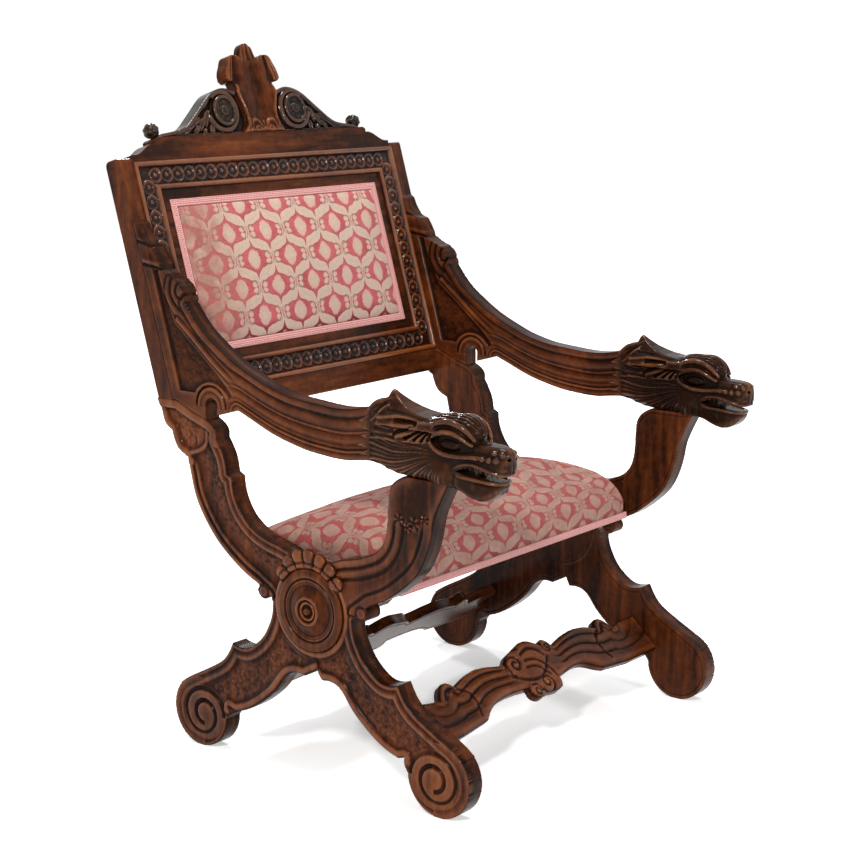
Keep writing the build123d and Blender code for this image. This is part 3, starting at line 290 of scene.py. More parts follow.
def skin(d, h, u, v, thick):
    """Relief skin over the part of the grid inside the outline, with walls down to -thick.

    Returns vertices (u, v, w), faces and for each vertex a value that is low in hollows, for painted shade, and high
    on ridges, for rubbing and painted light."""
    pitch = u[1, 0] - u[0, 0]
    gu, gv = np.gradient(d, pitch)
    norm = np.maximum(np.hypot(gu, gv), 0.3)
    near = d < 0.5 * pitch
    pu = np.where(near, u - d * gu / norm**2, u)
    pv = np.where(near, v - d * gv / norm**2, v)
    keep = d > -0.5 * pitch
    # value for the colour: painted shade in hollows, lighter on ridges for rubbing and painted light
    wear_and_painted_light = 0.45 * (h - blur(h, round(6.0 / pitch))) + 0.3 * (h - blur(h, round(2.5 / pitch))) + 0.1 * h
    index = -np.ones(d.shape, int)
    c = [keep[:-1, :-1], keep[1:, :-1], keep[1:, 1:], keep[:-1, 1:]]
    count = sum(x.astype(int) for x in c)
    used = np.zeros(d.shape, bool)
    good = count >= 3
    for (a, b), x in zip(((0, 0), (1, 0), (1, 1), (0, 1)), c):
        used[a:a + good.shape[0], b:b + good.shape[1]] |= good & x
    index[used] = np.arange(used.sum())
    verts = np.stack([pu[used], pv[used], h[used]], 1)
    ring = [index[:-1, :-1], index[1:, :-1], index[1:, 1:], index[:-1, 1:]]
    full = count == 4
    quads = np.stack([r[full] for r in ring], 1)
    tris = []
    for k in range(4):
        part = good & ~full & ~c[k]
        tris.append(np.stack([ring[(k + 1) % 4][part], ring[(k + 2) % 4][part], ring[(k + 3) % 4][part]], 1))
    tris = np.concatenate(tris)
    edges = np.concatenate([quads[:, [i, (i + 1) % 4]] for i in range(4)]
                           + [tris[:, [i, (i + 1) % 3]] for i in range(3)])
    key = np.sort(edges, 1)
    _, first, times = np.unique(key[:, 0] * (len(verts) + 1) + key[:, 1], return_index=True, return_counts=True)
    rim = edges[first[times == 1]]
    ids = np.unique(rim)
    low = np.zeros(len(verts), int)
    low[ids] = len(verts) + np.arange(len(ids))
    base = verts[ids].copy()
    base[:, 2] = -thick
    walls = np.stack([rim[:, 1], rim[:, 0], low[rim[:, 0]], low[rim[:, 1]]], 1)
    faces = quads.tolist() + tris.tolist() + walls.tolist()
    light_and_wear_values = np.concatenate([wear_and_painted_light[used], np.zeros(len(ids))])
    return np.concatenate([verts, base]), faces, light_and_wear_values


def retoned(part, extra):
    """The part with extra added to its value, to lighten or darken it where the extra says."""
    p, f, w = part
    return p, f, w + extra(p)


def leg_ground_and_rim_highlight(part):
    """Leg carving: the punched ground is lifted to a golden brown, the rolled borders get a painted highlight line."""
    return retoned(part, lambda q: np.interp(q[:, 2], [-9, -7, -5.6, -4.3, -3.5, -2.2, -0.8, 0.1, 0.45, 1.2],
                                             [0, -0.5, 0.3, 0.85, 0.4, -0.5, 0.15, 0.6, 0.1, -0.45]))


def new_piece(name, parts, material, angle=32.0):
    """Mesh object from (vertices in metres, faces, values of rubbing with painted shade and light) parts."""
    verts, faces, light_and_wear_values, start = [], [], [], 0
    for p, f, w in parts:
        verts.append(p)
        faces += [[i + start for i in face] for face in f]
        light_and_wear_values.append(w)
        start += len(p)
    verts = np.concatenate(verts)
    mesh = bpy.data.meshes.new(name)
    mesh.from_pydata(verts.tolist(), [], faces)
    mesh.attributes.new("wear_and_painted_light", "FLOAT", "POINT").data.foreach_set("value", np.concatenate(light_and_wear_values).astype(np.float32))
    mesh.polygons.foreach_set("use_smooth", [True] * len(mesh.polygons))
    mesh.set_sharp_from_angle(angle=math.radians(angle))
    mesh.materials.append(material)
    return add_object(name, mesh)


def turned_over(part):
    """The part facing the other way."""
    p, f, w = part
    return p * (1, 1, -1), [g[::-1] for g in f], w


def side_place(part, way):
    """Relief coordinates (y, z, height) to the frame, in metres; way is +1 on the outer face and -1 on the inner."""
    p, f, w = part if way > 0 else turned_over(part)
    face_x = half_width if way > 0 else inner
    return np.stack([face_x + p[:, 2], p[:, 0], p[:, 1]], 1) / 1000, f, w


def mirrored(piece, name):
    """The same piece on the other side of the chair."""
    mesh = piece.data.copy()
    mesh.transform(Matrix.Scale(-1, 4, (1, 0, 0)))
    mesh.flip_normals()
    return add_object(name, mesh)


def settle(piece, *nodes):
    """The piece rides on the chair and stands for its CAD nodes."""
    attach(piece, "root")
    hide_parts(*nodes)
    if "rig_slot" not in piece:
        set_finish(piece, "carved_walnut")
    return piece


def carve(name, node, parts, material, angle=32.0):
    """Piece made of parts, settled for its CAD node."""
    return settle(new_piece(name, parts, material, angle), node)


def carve_pair(name, node, parts, material, angle=32.0):
    """The same for a piece on the sitter's left and its twin on the right."""
    piece = carve(name + "_l", node + "_l", parts, material, angle)
    settle(mirrored(piece, name + "_r"), node + "_r")


# ------------------------------------------------------------------ materials
walnut_tones = [(0.1, (0.0065, 0.0028, 0.0018)), (0.33, (0.021, 0.0064, 0.0028)), (0.54, (0.08, 0.0198, 0.0055)),
                (0.74, (0.158, 0.0435, 0.0102)), (1.0, (0.21, 0.07, 0.019))]
dark_tones = [(0.1, (0.004, 0.0026, 0.0019)), (0.33, (0.0095, 0.0052, 0.0034)), (0.54, (0.036, 0.0145, 0.0068)),
              (0.74, (0.068, 0.025, 0.0095)), (1.0, (0.13, 0.047, 0.016))]
head_tones = [(0.1, (0.0062, 0.0028, 0.0017)), (0.33, (0.018, 0.0064, 0.0028)), (0.54, (0.052, 0.0158, 0.0052)),
              (0.74, (0.125, 0.043, 0.0115)), (1.0, (0.22, 0.092, 0.025))]
beech_tones = [(0.15, (0.2, 0.11, 0.05)), (0.45, (0.38, 0.235, 0.125)), (0.6, (0.44, 0.285, 0.16)),
               (0.9, (0.54, 0.37, 0.22))]


def wood(name, stretch, tones=walnut_tones, polish=0.1, rough=0.2, level=0.46):
    """Wood, darkened by painted shade in the recesses and lighter where rubbed or given painted light on ridges; its
    grain runs along the direction of small stretch.
    """
    s = Shader(bpy.data.materials.new(name))
    m = s.math
    place = s.node("TexCoord").outputs["Object"]
    grain_place = s.node("Mapping", Vector=place, Scale=stretch).outputs[0]
    grain = s.noise(grain_place, 9.0, 6.0, 0.6)
    # painted shade and light: low values darken the recesses, high ones lighten the ridges and make them glossier
    ridge = s.clamp(s.attribute("wear_and_painted_light", "Fac"), -1.2, 1.2)
    value = m("MULTIPLY_ADD", ridge, 0.22, level)
    for pattern, weight in ((grain, 0.6), (s.noise(grain_place, 1.7, 4.0, 0.6), 0.9),
                            (s.noise(place, 75.0, 3.0, 0.6), 0.3)):
        value = m("ADD", value, m("MULTIPLY_ADD", pattern, weight, -weight / 2))
    fine = s.noise(grain_place, 60.0, 3.0, 0.6)
    gloss = m("MULTIPLY_ADD", ridge, -0.06, m("MULTIPLY_ADD", fine, 0.14, rough - 0.05))
    shine = m("MULTIPLY_ADD", ridge, 0.13, polish)
    bump = s.node("Bump", Strength=0.35, Distance=0.0008, Height=m("ADD", grain, m("MULTIPLY", fine, 0.4)))
    return s.finish(s.node("BsdfPrincipled", Base_Color=s.ramp(value, *tones), Roughness=s.clamp(gloss, 0.11, 0.8),
                           Normal=bump.outputs[0], Specular_IOR_Level=s.clamp(shine, 0.05, 0.5)))


wood_up = wood("walnut_upright", (9.0, 9.0, 1.2), polish=0.07, rough=0.17)
wood_across = wood("walnut_across", (1.2, 9.0, 9.0))
wood_along = wood("walnut_along", (9.0, 1.4, 3.0), polish=0.08, rough=0.16)
wood_crest = wood("walnut_crest", (1.2, 9.0, 9.0), dark_tones, 0.2, 0.15)
wood_head = wood("walnut_head", (9.0, 1.4, 3.0), head_tones, 0.07, 0.15)
wood_mould_up = wood("walnut_moulding_upright", (9.0, 9.0, 1.2), polish=0.3, rough=0.14)
wood_mould_across = wood("walnut_moulding_across", (1.2, 9.0, 9.0), polish=0.3, rough=0.14)


# ------------------------------------------------------------------ side frames, millimetres
half_width, thick = 356.5, 33.0
inner = half_width - thick          # x of the inner face
side_middle = 340.0                 # x of the middle of a side frame
skin_depth = thick / 2 - 0.02       # the skins of the two faces almost meet in the middle
cross = (-50, 276)                  # y, z of the crossing
knob_z, knob_radius = 289.0, 12.5   # knobs beside the turned shoulder
mirror = -51.0                      # y of the plane between the front foot and the rear foot
foot_u, foot_z, foot_r = 249.0, 58.2, 59.0      # middle and radius of a scroll foot, u measured from that plane
leg_under = smooth([(170, 74), (153.7, 78.8), (124.3, 93.5), (94.9, 115.6), (77.2, 132.5), (65.5, 147.5),
                    (53, 160.5), (33, 166.8), (18.4, 165.6)])
leg_over = smooth([(172.6, 190), (184.5, 169), (194.9, 157), (212.5, 145), (253.7, 122.9), (274.3, 111.8),
                   (294.9, 97.9)])
leg_hollow = smooth([(172.6, 190), (153, 185.6), (139, 187.6), (124.3, 196), (106.6, 211.8), (93.5, 232),
                     (84, 258), (82.5, 275)])


def leg(y, z, way):
    """Signed distance and relief of a leg; way is -1 in front, +1 at the rear."""
    u = (y - mirror) * way
    centre = (cross[0] - mirror) * way
    poly = line([(196, 50), (184.5, 64.5), (183, 78)], leg_under,
                [(-11.0 * way, 181.2), (centre, cross[1]), (86, 284)], leg_hollow[::-1], leg_over, [(foot_u, foot_z)])
    d = inside(u, z, poly)
    foot = foot_r - np.hypot(u - foot_u, z - foot_z)
    disc = 75.0 - np.hypot(y - cross[0], z - cross[1])
    d = np.maximum(np.maximum(d, foot), disc)
    d = np.minimum(d, z)
    turn = np.radians(np.arange(50, -181, -6.0))
    arc = np.stack([foot_u + foot_r * np.cos(turn), foot_z + foot_r * np.sin(turn)], 1)
    over = away(u, z, line(leg_hollow[::-1], leg_over, arc))
    under = away(u, z, line([(183, 78)], leg_under, [(-11, 181.2)]))
    h = np.maximum(np.interp(over, [0, 1.5, 3, 8, 13, 16, 18.5, 22, 27, 60],
                             [-1.6, -0.4, 0, -1.5, -0.6, 0, -0.4, -2.6, -4.4, -4.4]),
                   np.interp(under, [0, 2, 5, 9, 12, 15, 18, 60], [-3.6, -1.4, 0, 0.2, -0.8, -3.6, -4.6, -4.6]))
    ground = ramp(-h, 3.4, 4.4)
    # scroll of the foot
    eu, ez = foot_u - 8.5, foot_z - 0.7
    r = np.hypot(u - eu, z - ez)
    around = np.degrees(np.arctan2(-(z - ez), u - eu)) % 360.0
    scroll = np.zeros(u.shape)
    table = ([180, 225, 270, 315, 360, 405, 450, 495, 540, 585, 630, 675, 720, 765, 810],
             [47, 44, 41, 41.5, 41.5, 39, 34, 29, 25, 22, 20.5, 19.8, 19.5, 19.5, 19])
    for k in (0, 360, 720):
        a = around + k
        live = (a >= 180) & (a <= 810)
        rs = np.interp(a, *table)
        wide = np.interp(a, [180, 270, 400, 560, 810], [4.5, 3.6, 2.6, 3.4, 3.4])
        deep = np.interp(a, [180, 270, 360, 450, 560, 640, 810], [4.4, 4.4, 3.4, 1.6, 4.0, 5.5, 3.0])
        groove = -deep * np.exp(-np.abs((r - rs) / wide)**2.4)
        scroll = np.where(live, np.minimum(scroll, groove), scroll)
    near = ramp(r, 43, 49)
    outer_side = ramp(over, 0.0, 22.0)
    h = h * near + (1 - near) * scroll
    h = np.where((r >= 43) & (foot > 0) & (u > eu), np.maximum(h, scroll - 1.2 * outer_side), h)
    h = h + ground * near * (0.55 * speckle(u, z, 5.0, 3) - 0.5 * ramp(under, 18, 34) * ramp(over, 27, 40))
    # turned shoulder round the boss
    rb = np.hypot(y - cross[0], z - cross[1])
    rim = np.interp(rb, [0, 64, 66, 70, 74, 78, 83], [-1, -1, -1.5, 0.4, 0.2, -2.5, -4.4])
    h = np.where(rb < 83, np.maximum(np.where(rb < 76, rim, h), rim), h)
    return d, eased(h, d)


def knob_at(y, z, y0):
    """Depth inside the outline of a knob."""
    return knob_radius - np.hypot(y - y0, z - knob_z)


def with_knob(h, knob):
    """Relief with the turned knob in it."""
    rings = np.interp(knob_radius - knob, [0, 6, 8, 9, 11, 12.5], [0.6, 0.4, -0.6, -1.6, -0.6, -2])
    return np.where(knob > 0, rings, h)


post_back = smooth([(68, 300), (84, 307), (119.4, 328.4), (154.7, 357.6), (181.2, 390.6), (197.4, 419),
                    (207.6, 454), (214.5, 485)])
post_cove = smooth([(214.5, 485), (236, 496.6), (244.5, 511), (249, 524.4)])
post_lobe = smooth([(249, 524.4), (263, 533.5), (270.5, 553.5), (278.6, 572.5)])
post_crown = smooth([(236, 575), (219, 568), (200, 560.4), (178, 553.2), (160, 545.6), (148.5, 534.5),
                     (147, 521)])
post_front = smooth([(147, 521), (137, 505.5), (129.5, 489), (125.8, 468)])
post_inner = smooth([(115, 462.5), (112.2, 441), (104.7, 421.8), (93, 404.5), (79.7, 392.4), (60.6, 381),
                     (38, 373), (10, 366.5), (-26, 352)])
post_rear = line([(40, 284)], post_back, post_cove, post_lobe, [(277.6, 575)])
post_outline = line([cross], post_rear, post_crown, post_front, post_inner)


def post(y, z):
    """Signed distance and relief of the rear post."""
    knob = knob_at(y, z, 50.0)
    d = np.maximum(inside(y, z, post_outline), knob)
    rear = away(y, z, post_rear)
    front = away(y, z, line(post_front, post_inner))
    crown = away(y, z, line([(278.6, 575)], post_crown))
    low = np.interp(rear, [0, 2, 5, 8, 10.5, 12.5, 15, 19, 22, 26, 60],
                    [-3.4, -1.2, 0, 0, -2.2, -3.0, -1.4, -0.6, -1.6, -4.2, -4.4])
    high = np.interp(rear, [0, 2, 5, 9, 13, 16, 60], [-2.4, -0.8, 0, -0.2, -1.8, -4.6, -4.6])
    up_part = ramp(z, 470, 500)
    h = low * (1 - up_part) + high * up_part
    h = np.maximum(h, np.interp(front, [0, 2, 7, 12, 15, 18, 22, 60], [-1.0, 0, -1.2, -0.5, 0, -1.4, -4.4, -4.6]))
    h = np.maximum(h, np.interp(crown, [0, 3, 12, 14, 17, 60], [0, 0, 0.1, -0.8, -4.8, -4.8]))
    ground = ramp(-h, 3.4, 4.4)
    raised = 1.2 * ramp(front, 22, 30) * (1 - ramp(rear, 26, 44)) * (1 - up_part)
    h = h + ground * (0.7 * speckle(y, z, 5.5, 5) + raised)
    brow = away(y, z, smooth([(216, 488), (200, 494), (184, 500), (170, 512), (168, 530)]))
    h = np.maximum(h, -0.4 - 3.0 * ramp(brow, 1.5, 6.0) - 8 * ramp(brow, 6.0, 9.0))
    h = np.maximum(h, np.interp(np.hypot(y - 205, z - 478), [0, 4, 7, 8.5, 30], [0.2, 0, -1.0, -5, -12]))
    return d, eased(with_knob(h, knob), d)


support_under = smooth([(-170, 304.8), (-202, 319.6), (-237, 345), (-264, 372), (-277.5, 397),
                        (-288, 430), (-293.3, 455), (-303, 479), (-321, 514)])
support_back = smooth([(-236, 514), (-218, 503), (-208.8, 490), (-206.2, 474), (-205, 446),
                       (-203, 427), (-194, 402.5), (-180, 389), (-162, 380.6), (-140, 373),
                       (-112, 366.5), (-76, 352)])


def support(y, z):
    """Signed distance and relief of the front arm support."""
    knob = knob_at(y, z, -152.0)
    d = np.maximum(inside(y, z, line([cross, (-142, 284)], support_under, support_back)), knob)
    rear = away(y, z, support_back)
    front = away(y, z, line([(-142, 284)], support_under))
    h = np.interp(rear, [0, 2, 6, 11, 14, 17, 21, 27, 31, 35, 60],
                  [-1.2, 0, 0.2, -0.6, -2.6, -1.0, -0.3, -1.0, -3.0, -1.2, -0.6])
    h = np.minimum(h, np.interp(front, [0, 2, 8, 14, 17.5, 21, 24, 40], [-1.2, 0, 0.4, -0.6, -2.8, -0.9, 0, 0]))
    fade = ramp(z, 428, 456)
    swell = np.interp(np.minimum(rear, front), [0, 3, 14, 40], [-1.6, -0.2, 0.6, 1.2])
    h = h * (1 - fade) + swell * fade
    for k, (cy, cz, size) in enumerate(((-229, 449, 11), (-258, 447, 12), (-277, 455, 8), (-244, 438, 8))):
        r = np.hypot(y - cy, z - cz)
        a = np.arctan2(z - cz, y - cy)
        petal = np.cos(5 * a + k) * 0.5 + 0.5
        body = (2.8 * petal - 0.3) * np.exp(-((r - size * 0.55) / (size * 0.38))**2) - 1.2 * np.exp(-(r / 1.6)**2)
        h = h + body * ramp(size * 1.3 - r, 0, 3) - 1.1 * (1 - petal) * np.exp(-((r - size * 0.8) / 2.2)**2)
    return d, eased(with_knob(h, knob), d)


pitch = 1.25
fy, fz = grid(-366.0, 294.0, -2.0, 580.0, pitch)


def either(a, b):
    """Union of two carved parts."""
    joint = np.where((a[0] > 0) & (b[0] > 0), np.maximum(a[1], b[1]), np.where(a[0] > b[0], a[1], b[1]))
    return np.maximum(a[0], b[0]), joint


post_d, post_h = either(leg(fy, fz, -1), post(fy, fz))
strut_d, strut_h = either(leg(fy, fz, 1), support(fy, fz))
# half lapped at the crossing: the member with the post lies outermost
for name, full_d, relief, outer_d, inner_d in (("post", post_d, post_h, post_d, np.minimum(post_d, -strut_d)),
                                               ("arm", strut_d, strut_h, np.minimum(strut_d, -post_d), strut_d)):
    carve_pair("carved_leg_" + name, "cross_leg_" + name,
               [side_place(leg_ground_and_rim_highlight(skin(outer_d, relief, fy, fz, skin_depth)), 1),
                side_place(skin(inner_d, plain_face(full_d), fy, fz, skin_depth), -1)], wood_up)


# ------------------------------------------------------------------ arms
rake = math.radians(16.14)          # lean of the back
sin_r, cos_r = math.sin(rake), math.cos(rake)
back_y = 75.96                      # y of the plane of the stiles' faces at the floor


def face_y(z):
    """y of that plane at a height."""
    return back_y + z * math.tan(rake)


arm_top = smooth([(209, 733.6), (196.4, 717.5), (178.6, 698), (150, 676.4), (128.6, 662), (96.4, 644.3),
                  (67.9, 631.8), (42.9, 621.8), (16, 614), (-12, 608), (-57, 603.5), (-100, 600.6),
                  (-132, 602), (-170, 609)])
arm_bottom = smooth([(-170, 529), (-147, 526.5), (-129, 524), (-106, 523.5), (-72, 525.6),
                     (-42.4, 529), (-13, 535), (16.5, 542.4), (46, 552.6), (75.3, 564.4), (98.8, 573.3)])
wing = line(smooth([(316, 853), (310.7, 841), (303.6, 830), (293, 821), (282, 817.5)]),
            smooth([(282, 817.5), (271.4, 801.4), (262.5, 785.4), (246.4, 774.6), (228.6, 767.5)]),
            smooth([(228.6, 767.5), (219.6, 760), (212.5, 748), (209, 733.6)]))
turn = np.radians(np.arange(180, -1, -10.0))
arch_y, arch_z = 156.0, 574.0       # middle of the arch over the rear post
arch = np.stack([arch_y + 13.0 * np.cos(turn), arch_z + 13.0 * np.sin(turn)], 1)
ay, az = grid(-176.0, 330.0, 518.0, 864.0, pitch)
outline = line([(face_y(858.6), 858.6)], wing, arm_top, arm_bottom, [(137, 562), (143, 560.5)], arch,
               [(169, 540), (face_y(560.0), 560.0), (face_y(575.0), 575.0)])
arm_d = np.minimum(inside(ay, az, outline), -0.3 - inside(ay, az - 0.3, post_outline))
top, low = away(ay, az, arm_top), away(ay, az, arm_bottom)
share = top / np.maximum(top + low, 1e-3)
reeds = np.interp(share, [0, .03, .08, .13, .155, .175, .2, .26, .34, .4, .425, .45, .475, .5, .55, .62, .67, .7, .73,
                          .77, .8, .825, .85, .875, .9, .95, .98, 1],
                  [-1.6, -.3, .3, 0, -1.2, -2.2, -1.2, .1, .3, -.6, -1.6, .2, .2, -1.8, -.7, 0, -.6, -1.5, -.7, -1.0,
                   -2.6, .4, .4, -1.8, -.6, .1, -.4, -1.6])
by_top = np.interp(top, [0, 2, 6, 10, 12, 13.5, 15.5, 19, 23, 60],
                   [-1.6, -.2, .3, -.2, -1.2, -2.2, -1.0, 0, -.2, -.2])
ridge = smooth([(228, 707), (190, 677), (150, 645), (134, 633.5), (90, 607), (46, 592)])
off = away(ay, az, ridge)
# the field of the wing lies below the ridge and behind the moulding of the stile
field_edge = line([(226, 590), (192, 588)],
                  smooth([(192, 588), (187, 597), (176, 605), (158, 610), (140, 606), (126, 597), (118, 588)]),
                  [(105, 594), (134, 622), (190, 667), (232, 700), (250, 735), (268, 768), (272, 776)])
field = inside(ay, az, field_edge)
wing_h = by_top - 3.6 * ramp(field, 0.0, 4.0) + 1.1 * np.exp(-(off / 2.6)**2) - 1.4 * np.exp(-((off - 6.0) / 2.0)**2)
wing_h += ramp(field, 3, 6) * (0.5 * speckle(ay, az, 6.0, 8))
stile_off = (face_y(az) - ay) * cos_r
by_stile = np.interp(stile_off, [0, 18.5, 20, 21, 24, 27, 29, 31, 40], [0, 0, -.4, -3.0, -4.4, -3.6, -2.4, -3.6, 9])
wing_h = np.where(stile_off < 34, np.minimum(wing_h, by_stile), wing_h)
wing_h = np.where((az < 592) & (stile_off < 60), np.maximum(wing_h, -0.3), wing_h)
wing_h = np.where(az > 782, np.interp(stile_off, [0, 19, 22, 60], [0, 0, -1.0, -1.4]), wing_h)
wing_h += strokes(ay, az, ([(312, 826), (276, 818)], 2.2, -2.4), ([(300, 790), (262, 784)], 2.2, -2.6),
                  ([(300, 797), (268, 792)], 2.5, 1.2),
                  ([(226, 764), (231, 752), (226, 742), (218, 740), (214, 746)], 2.6, -2.6),
                  ([(240, 770), (243, 750), (234, 732), (222, 722)], 3.0, -2.4),
                  ([(250, 774), (256, 752), (246, 726), (232, 710)], 2.6, -1.8))
ring = np.hypot(ay - arch_y, az - arch_z)
round_arch = np.interp(ring, [12, 14, 19, 23, 26, 29, 31, 34], [-1.5, -.6, -.4, -1.2, .3, .3, -2.4, -3.4])
wing_h = np.where((ring < 34) & (az > 572), round_arch, wing_h)
to_wing = ramp(ay, 96, 128)
arm_h = eased(reeds * (1 - to_wing) + wing_h * to_wing, arm_d)
arm_skin = skin(arm_d, arm_h, ay, az, skin_depth)
carve_pair("carved_arm", "arm", [side_place(arm_skin, 1), side_place(arm_skin, -1)], wood_along)


# ------------------------------------------------------------------ turned boss and the fan over it
def running_mean(h, n):
    """Mean over 2n+1 neighbours."""
    return np.convolve(np.pad(h, n, mode="edge"), np.ones(2 * n + 1) / (2 * n + 1), "valid")


def ring_faces(rows, turns):
    """Quads between rings of turns points each."""
    i, j = np.meshgrid(np.arange(rows - 1), np.arange(turns), indexing="ij")
    n = (j + 1) % turns
    return np.stack([i * turns + j, i * turns + n, (i + 1) * turns + n, (i + 1) * turns + j], 2).reshape(-1, 4)


def turned(profile, turns=96, step=0.6):
    """Surface of revolution from (radius, height) points: vertices (a, b, height), faces, and a value with painted
    shade in its grooves and painted light on its beads.
    """
    p = np.array(profile, float)
    t = np.concatenate([[0], np.cumsum(np.linalg.norm(np.diff(p, axis=0), axis=1))])
    s = np.linspace(0, t[-1], int(t[-1] / step))
    r, h = np.interp(s, t, p[:, 0]), np.interp(s, t, p[:, 1])
    h = running_mean(h, 3) * 0.6 + h * 0.4
    wide = running_mean(h, 6)
    a = np.linspace(0, 2 * math.pi, turns, endpoint=False)
    verts = np.stack([np.outer(r, np.cos(a)), np.outer(r, np.sin(a)), np.outer(h, np.ones(turns))], 2).reshape(-1, 3)
    return verts, ring_faces(len(s), turns).tolist(), np.repeat((h - wide) * 1.5 - 0.12, turns)


p, f, w = turned([(66, -1), (66, 1.6), (64, 4), (60, 5.6), (56, 6), (53, 5.2), (51.4, 3.2), (50, 1.4), (48.8, 3.4),
                  (47, 4.2), (45.6, 2.8), (44.8, 3.8), (43.6, 2.8), (42.8, 3.6), (41.6, 2.2), (40, 2.2), (34, 3.8),
                  (28, 6.4), (24.5, 8.4), (23, 10.4), (21, 11), (19, 10.2), (17.8, 7), (16.4, 5.6), (15.2, 8.6),
                  (13.4, 9.6), (11.6, 8.4), (10.4, 4.6), (8.4, 3.4), (6.8, 4.6), (6, 9), (4.6, 11.8), (2.4, 13.2),
                  (0.01, 13.5)])
p[:, :2] += cross
carve_pair("turned_boss", "boss", [side_place((p, f, w), 1)], wood_up)

lobes, fan_start, fan_sweep, fan_z = 7, 14.0, 152.0, 302.0
fan = []
for k in range(lobes * 8 + 1):
    q = k / 8
    a = math.radians(fan_start + fan_sweep * q / lobes)
    r = 66.0 + 7.0 * abs(math.sin(math.pi * q))**0.7
    fan.append((cross[0] + r * math.cos(a), fan_z + r * math.sin(a)))
fan += [(cross[0] - 40.0, fan_z), (cross[0] + 40.0, fan_z)]
uy, uz = grid(-130.0, 30.0, 296.0, 382.0, 1.0)
r_fan = np.hypot(uy - cross[0], uz - fan_z)
r_boss = np.hypot(uy - cross[0], uz - cross[1])
d = np.minimum(inside(uy, uz, fan), r_boss - 66.3)
q = (np.degrees(np.arctan2(uz - fan_z, uy - cross[0])) - fan_start) / fan_sweep * lobes
lobe = np.abs(np.sin(math.pi * q))
out_part = ramp(r_fan, 38, 50)
swell = 3.2 * np.sqrt(lobe) * np.sin(np.clip((r_fan - 44) / 30, 0, 1) * math.pi * 0.8 + 0.4)
h = 3.6 + out_part * (0.4 + swell) - out_part * 2.6 * (1 - lobe)**3
h = h + 1.0 * np.exp(-((r_boss - 71) / 2.2)**2) - 1.8 * np.exp(-((r_boss - 76.5) / 2.0)**2)
leaf = retoned(skin(d, eased(h, d, 4.0, 2.6), uy, uz, 0.0), lambda q: -0.45)
carve_pair("fan_leaf", "shell", [side_place(leaf, 1)], wood_up, 50.0)


# ------------------------------------------------------------------ back frame
def raked_place(part, base=0.0):
    """(x, s up the rake, d forward) to the frame, in metres."""
    p, f, w = part
    d = p[:, 2] + base
    return np.stack([p[:, 0], back_y + p[:, 1] * sin_r - d * cos_r, p[:, 1] * cos_r + d * sin_r], 1) / 1000, f, w


mould_width, coin_pitch = 48.0, 26.0


def moulding(length, seed):
    """One side of the frame: u along it, v inward from its lip, mitred at both ends."""
    u, v = grid(-length / 2, length / 2, 0.0, mould_width, 1.1)
    h = np.interp(v, [0, 1, 3, 5, 7, 8.5, 9.5, 11, 14, 34, 37, 38.5, 40, 42.5, 45, 47, 48],
                  [1.5, 3.4, 4.4, 4.3, 3.2, 1.5, -.6, -2.2, -2.6, -2.6, -2.2, -.4, 1.6, 3.5, 3.3, 1.6, -.6])
    count = int(round((length - 62.0) / coin_pitch))
    run = (length - 62.0) / count
    shift = 0.0 if count % 2 else 0.5
    k = np.round(u / run - shift) + shift
    best = np.full(u.shape, -2.6)
    for near in (-1, 0, 1):
        c = (k + near) * run
        r = np.hypot((u - c) / 1.16, (v - 24.0) / 1.2)
        coin = np.interp(r, [0, 2.0, 3.2, 4.4, 6.6, 8.4, 9.6, 11.2, 12.0],
                         [1.4, 1.2, -.8, -1.4, -.9, .2, 1.3, 0.6, -2.6])
        coin = np.where(np.abs(c) < length / 2 - 34.0, coin - 1.5 * np.clip((c - u) / 13.0 + 0.4, 0, 1), -2.6)
        best = np.maximum(best, coin)
    h = np.where((v > 10) & (v < 38), np.maximum(h, best + 0.25 * speckle(u, v, 3.0, seed)), h)
    d = inside(u, v, [(-length / 2, 0), (length / 2, 0), (length / 2 - mould_width, mould_width),
                      (-length / 2 + mould_width, mould_width)])
    return retoned(skin(d, h, u, v, 9.0), coin_band_and_lip_highlights)


def coin_band_and_lip_highlights(p):
    """Darker between the coins, with painted highlights on the lips at both sides of them."""
    v = p[:, 1]
    return -0.45 * ramp(v, 9.5, 12) * (1 - ramp(v, 36, 39)) + 0.7 * (v < 7) + 0.6 * (v > 41)


side_x, low_s, high_s = 326.5, 599.5, 988.5
p, f, w = moulding(2 * side_x, 11)
top_strip = np.stack([p[:, 0], high_s - p[:, 1], p[:, 2]], 1), [g[::-1] for g in f], w
carve("coin_moulding_top", "mould_top", [raked_place(top_strip)], wood_mould_across)
bottom_strip = np.stack([p[:, 0], low_s + p[:, 1], p[:, 2]], 1), f, w
carve("coin_moulding_bottom", "mould_bottom", [raked_place(bottom_strip)], wood_mould_across)
p, f, w = moulding(high_s - low_s, 12)
side_strip = np.stack([side_x - p[:, 1], (low_s + high_s) / 2 + p[:, 0], p[:, 2]], 1), f, w
carve_pair("coin_moulding", "mould", [raked_place(side_strip)], wood_mould_up)


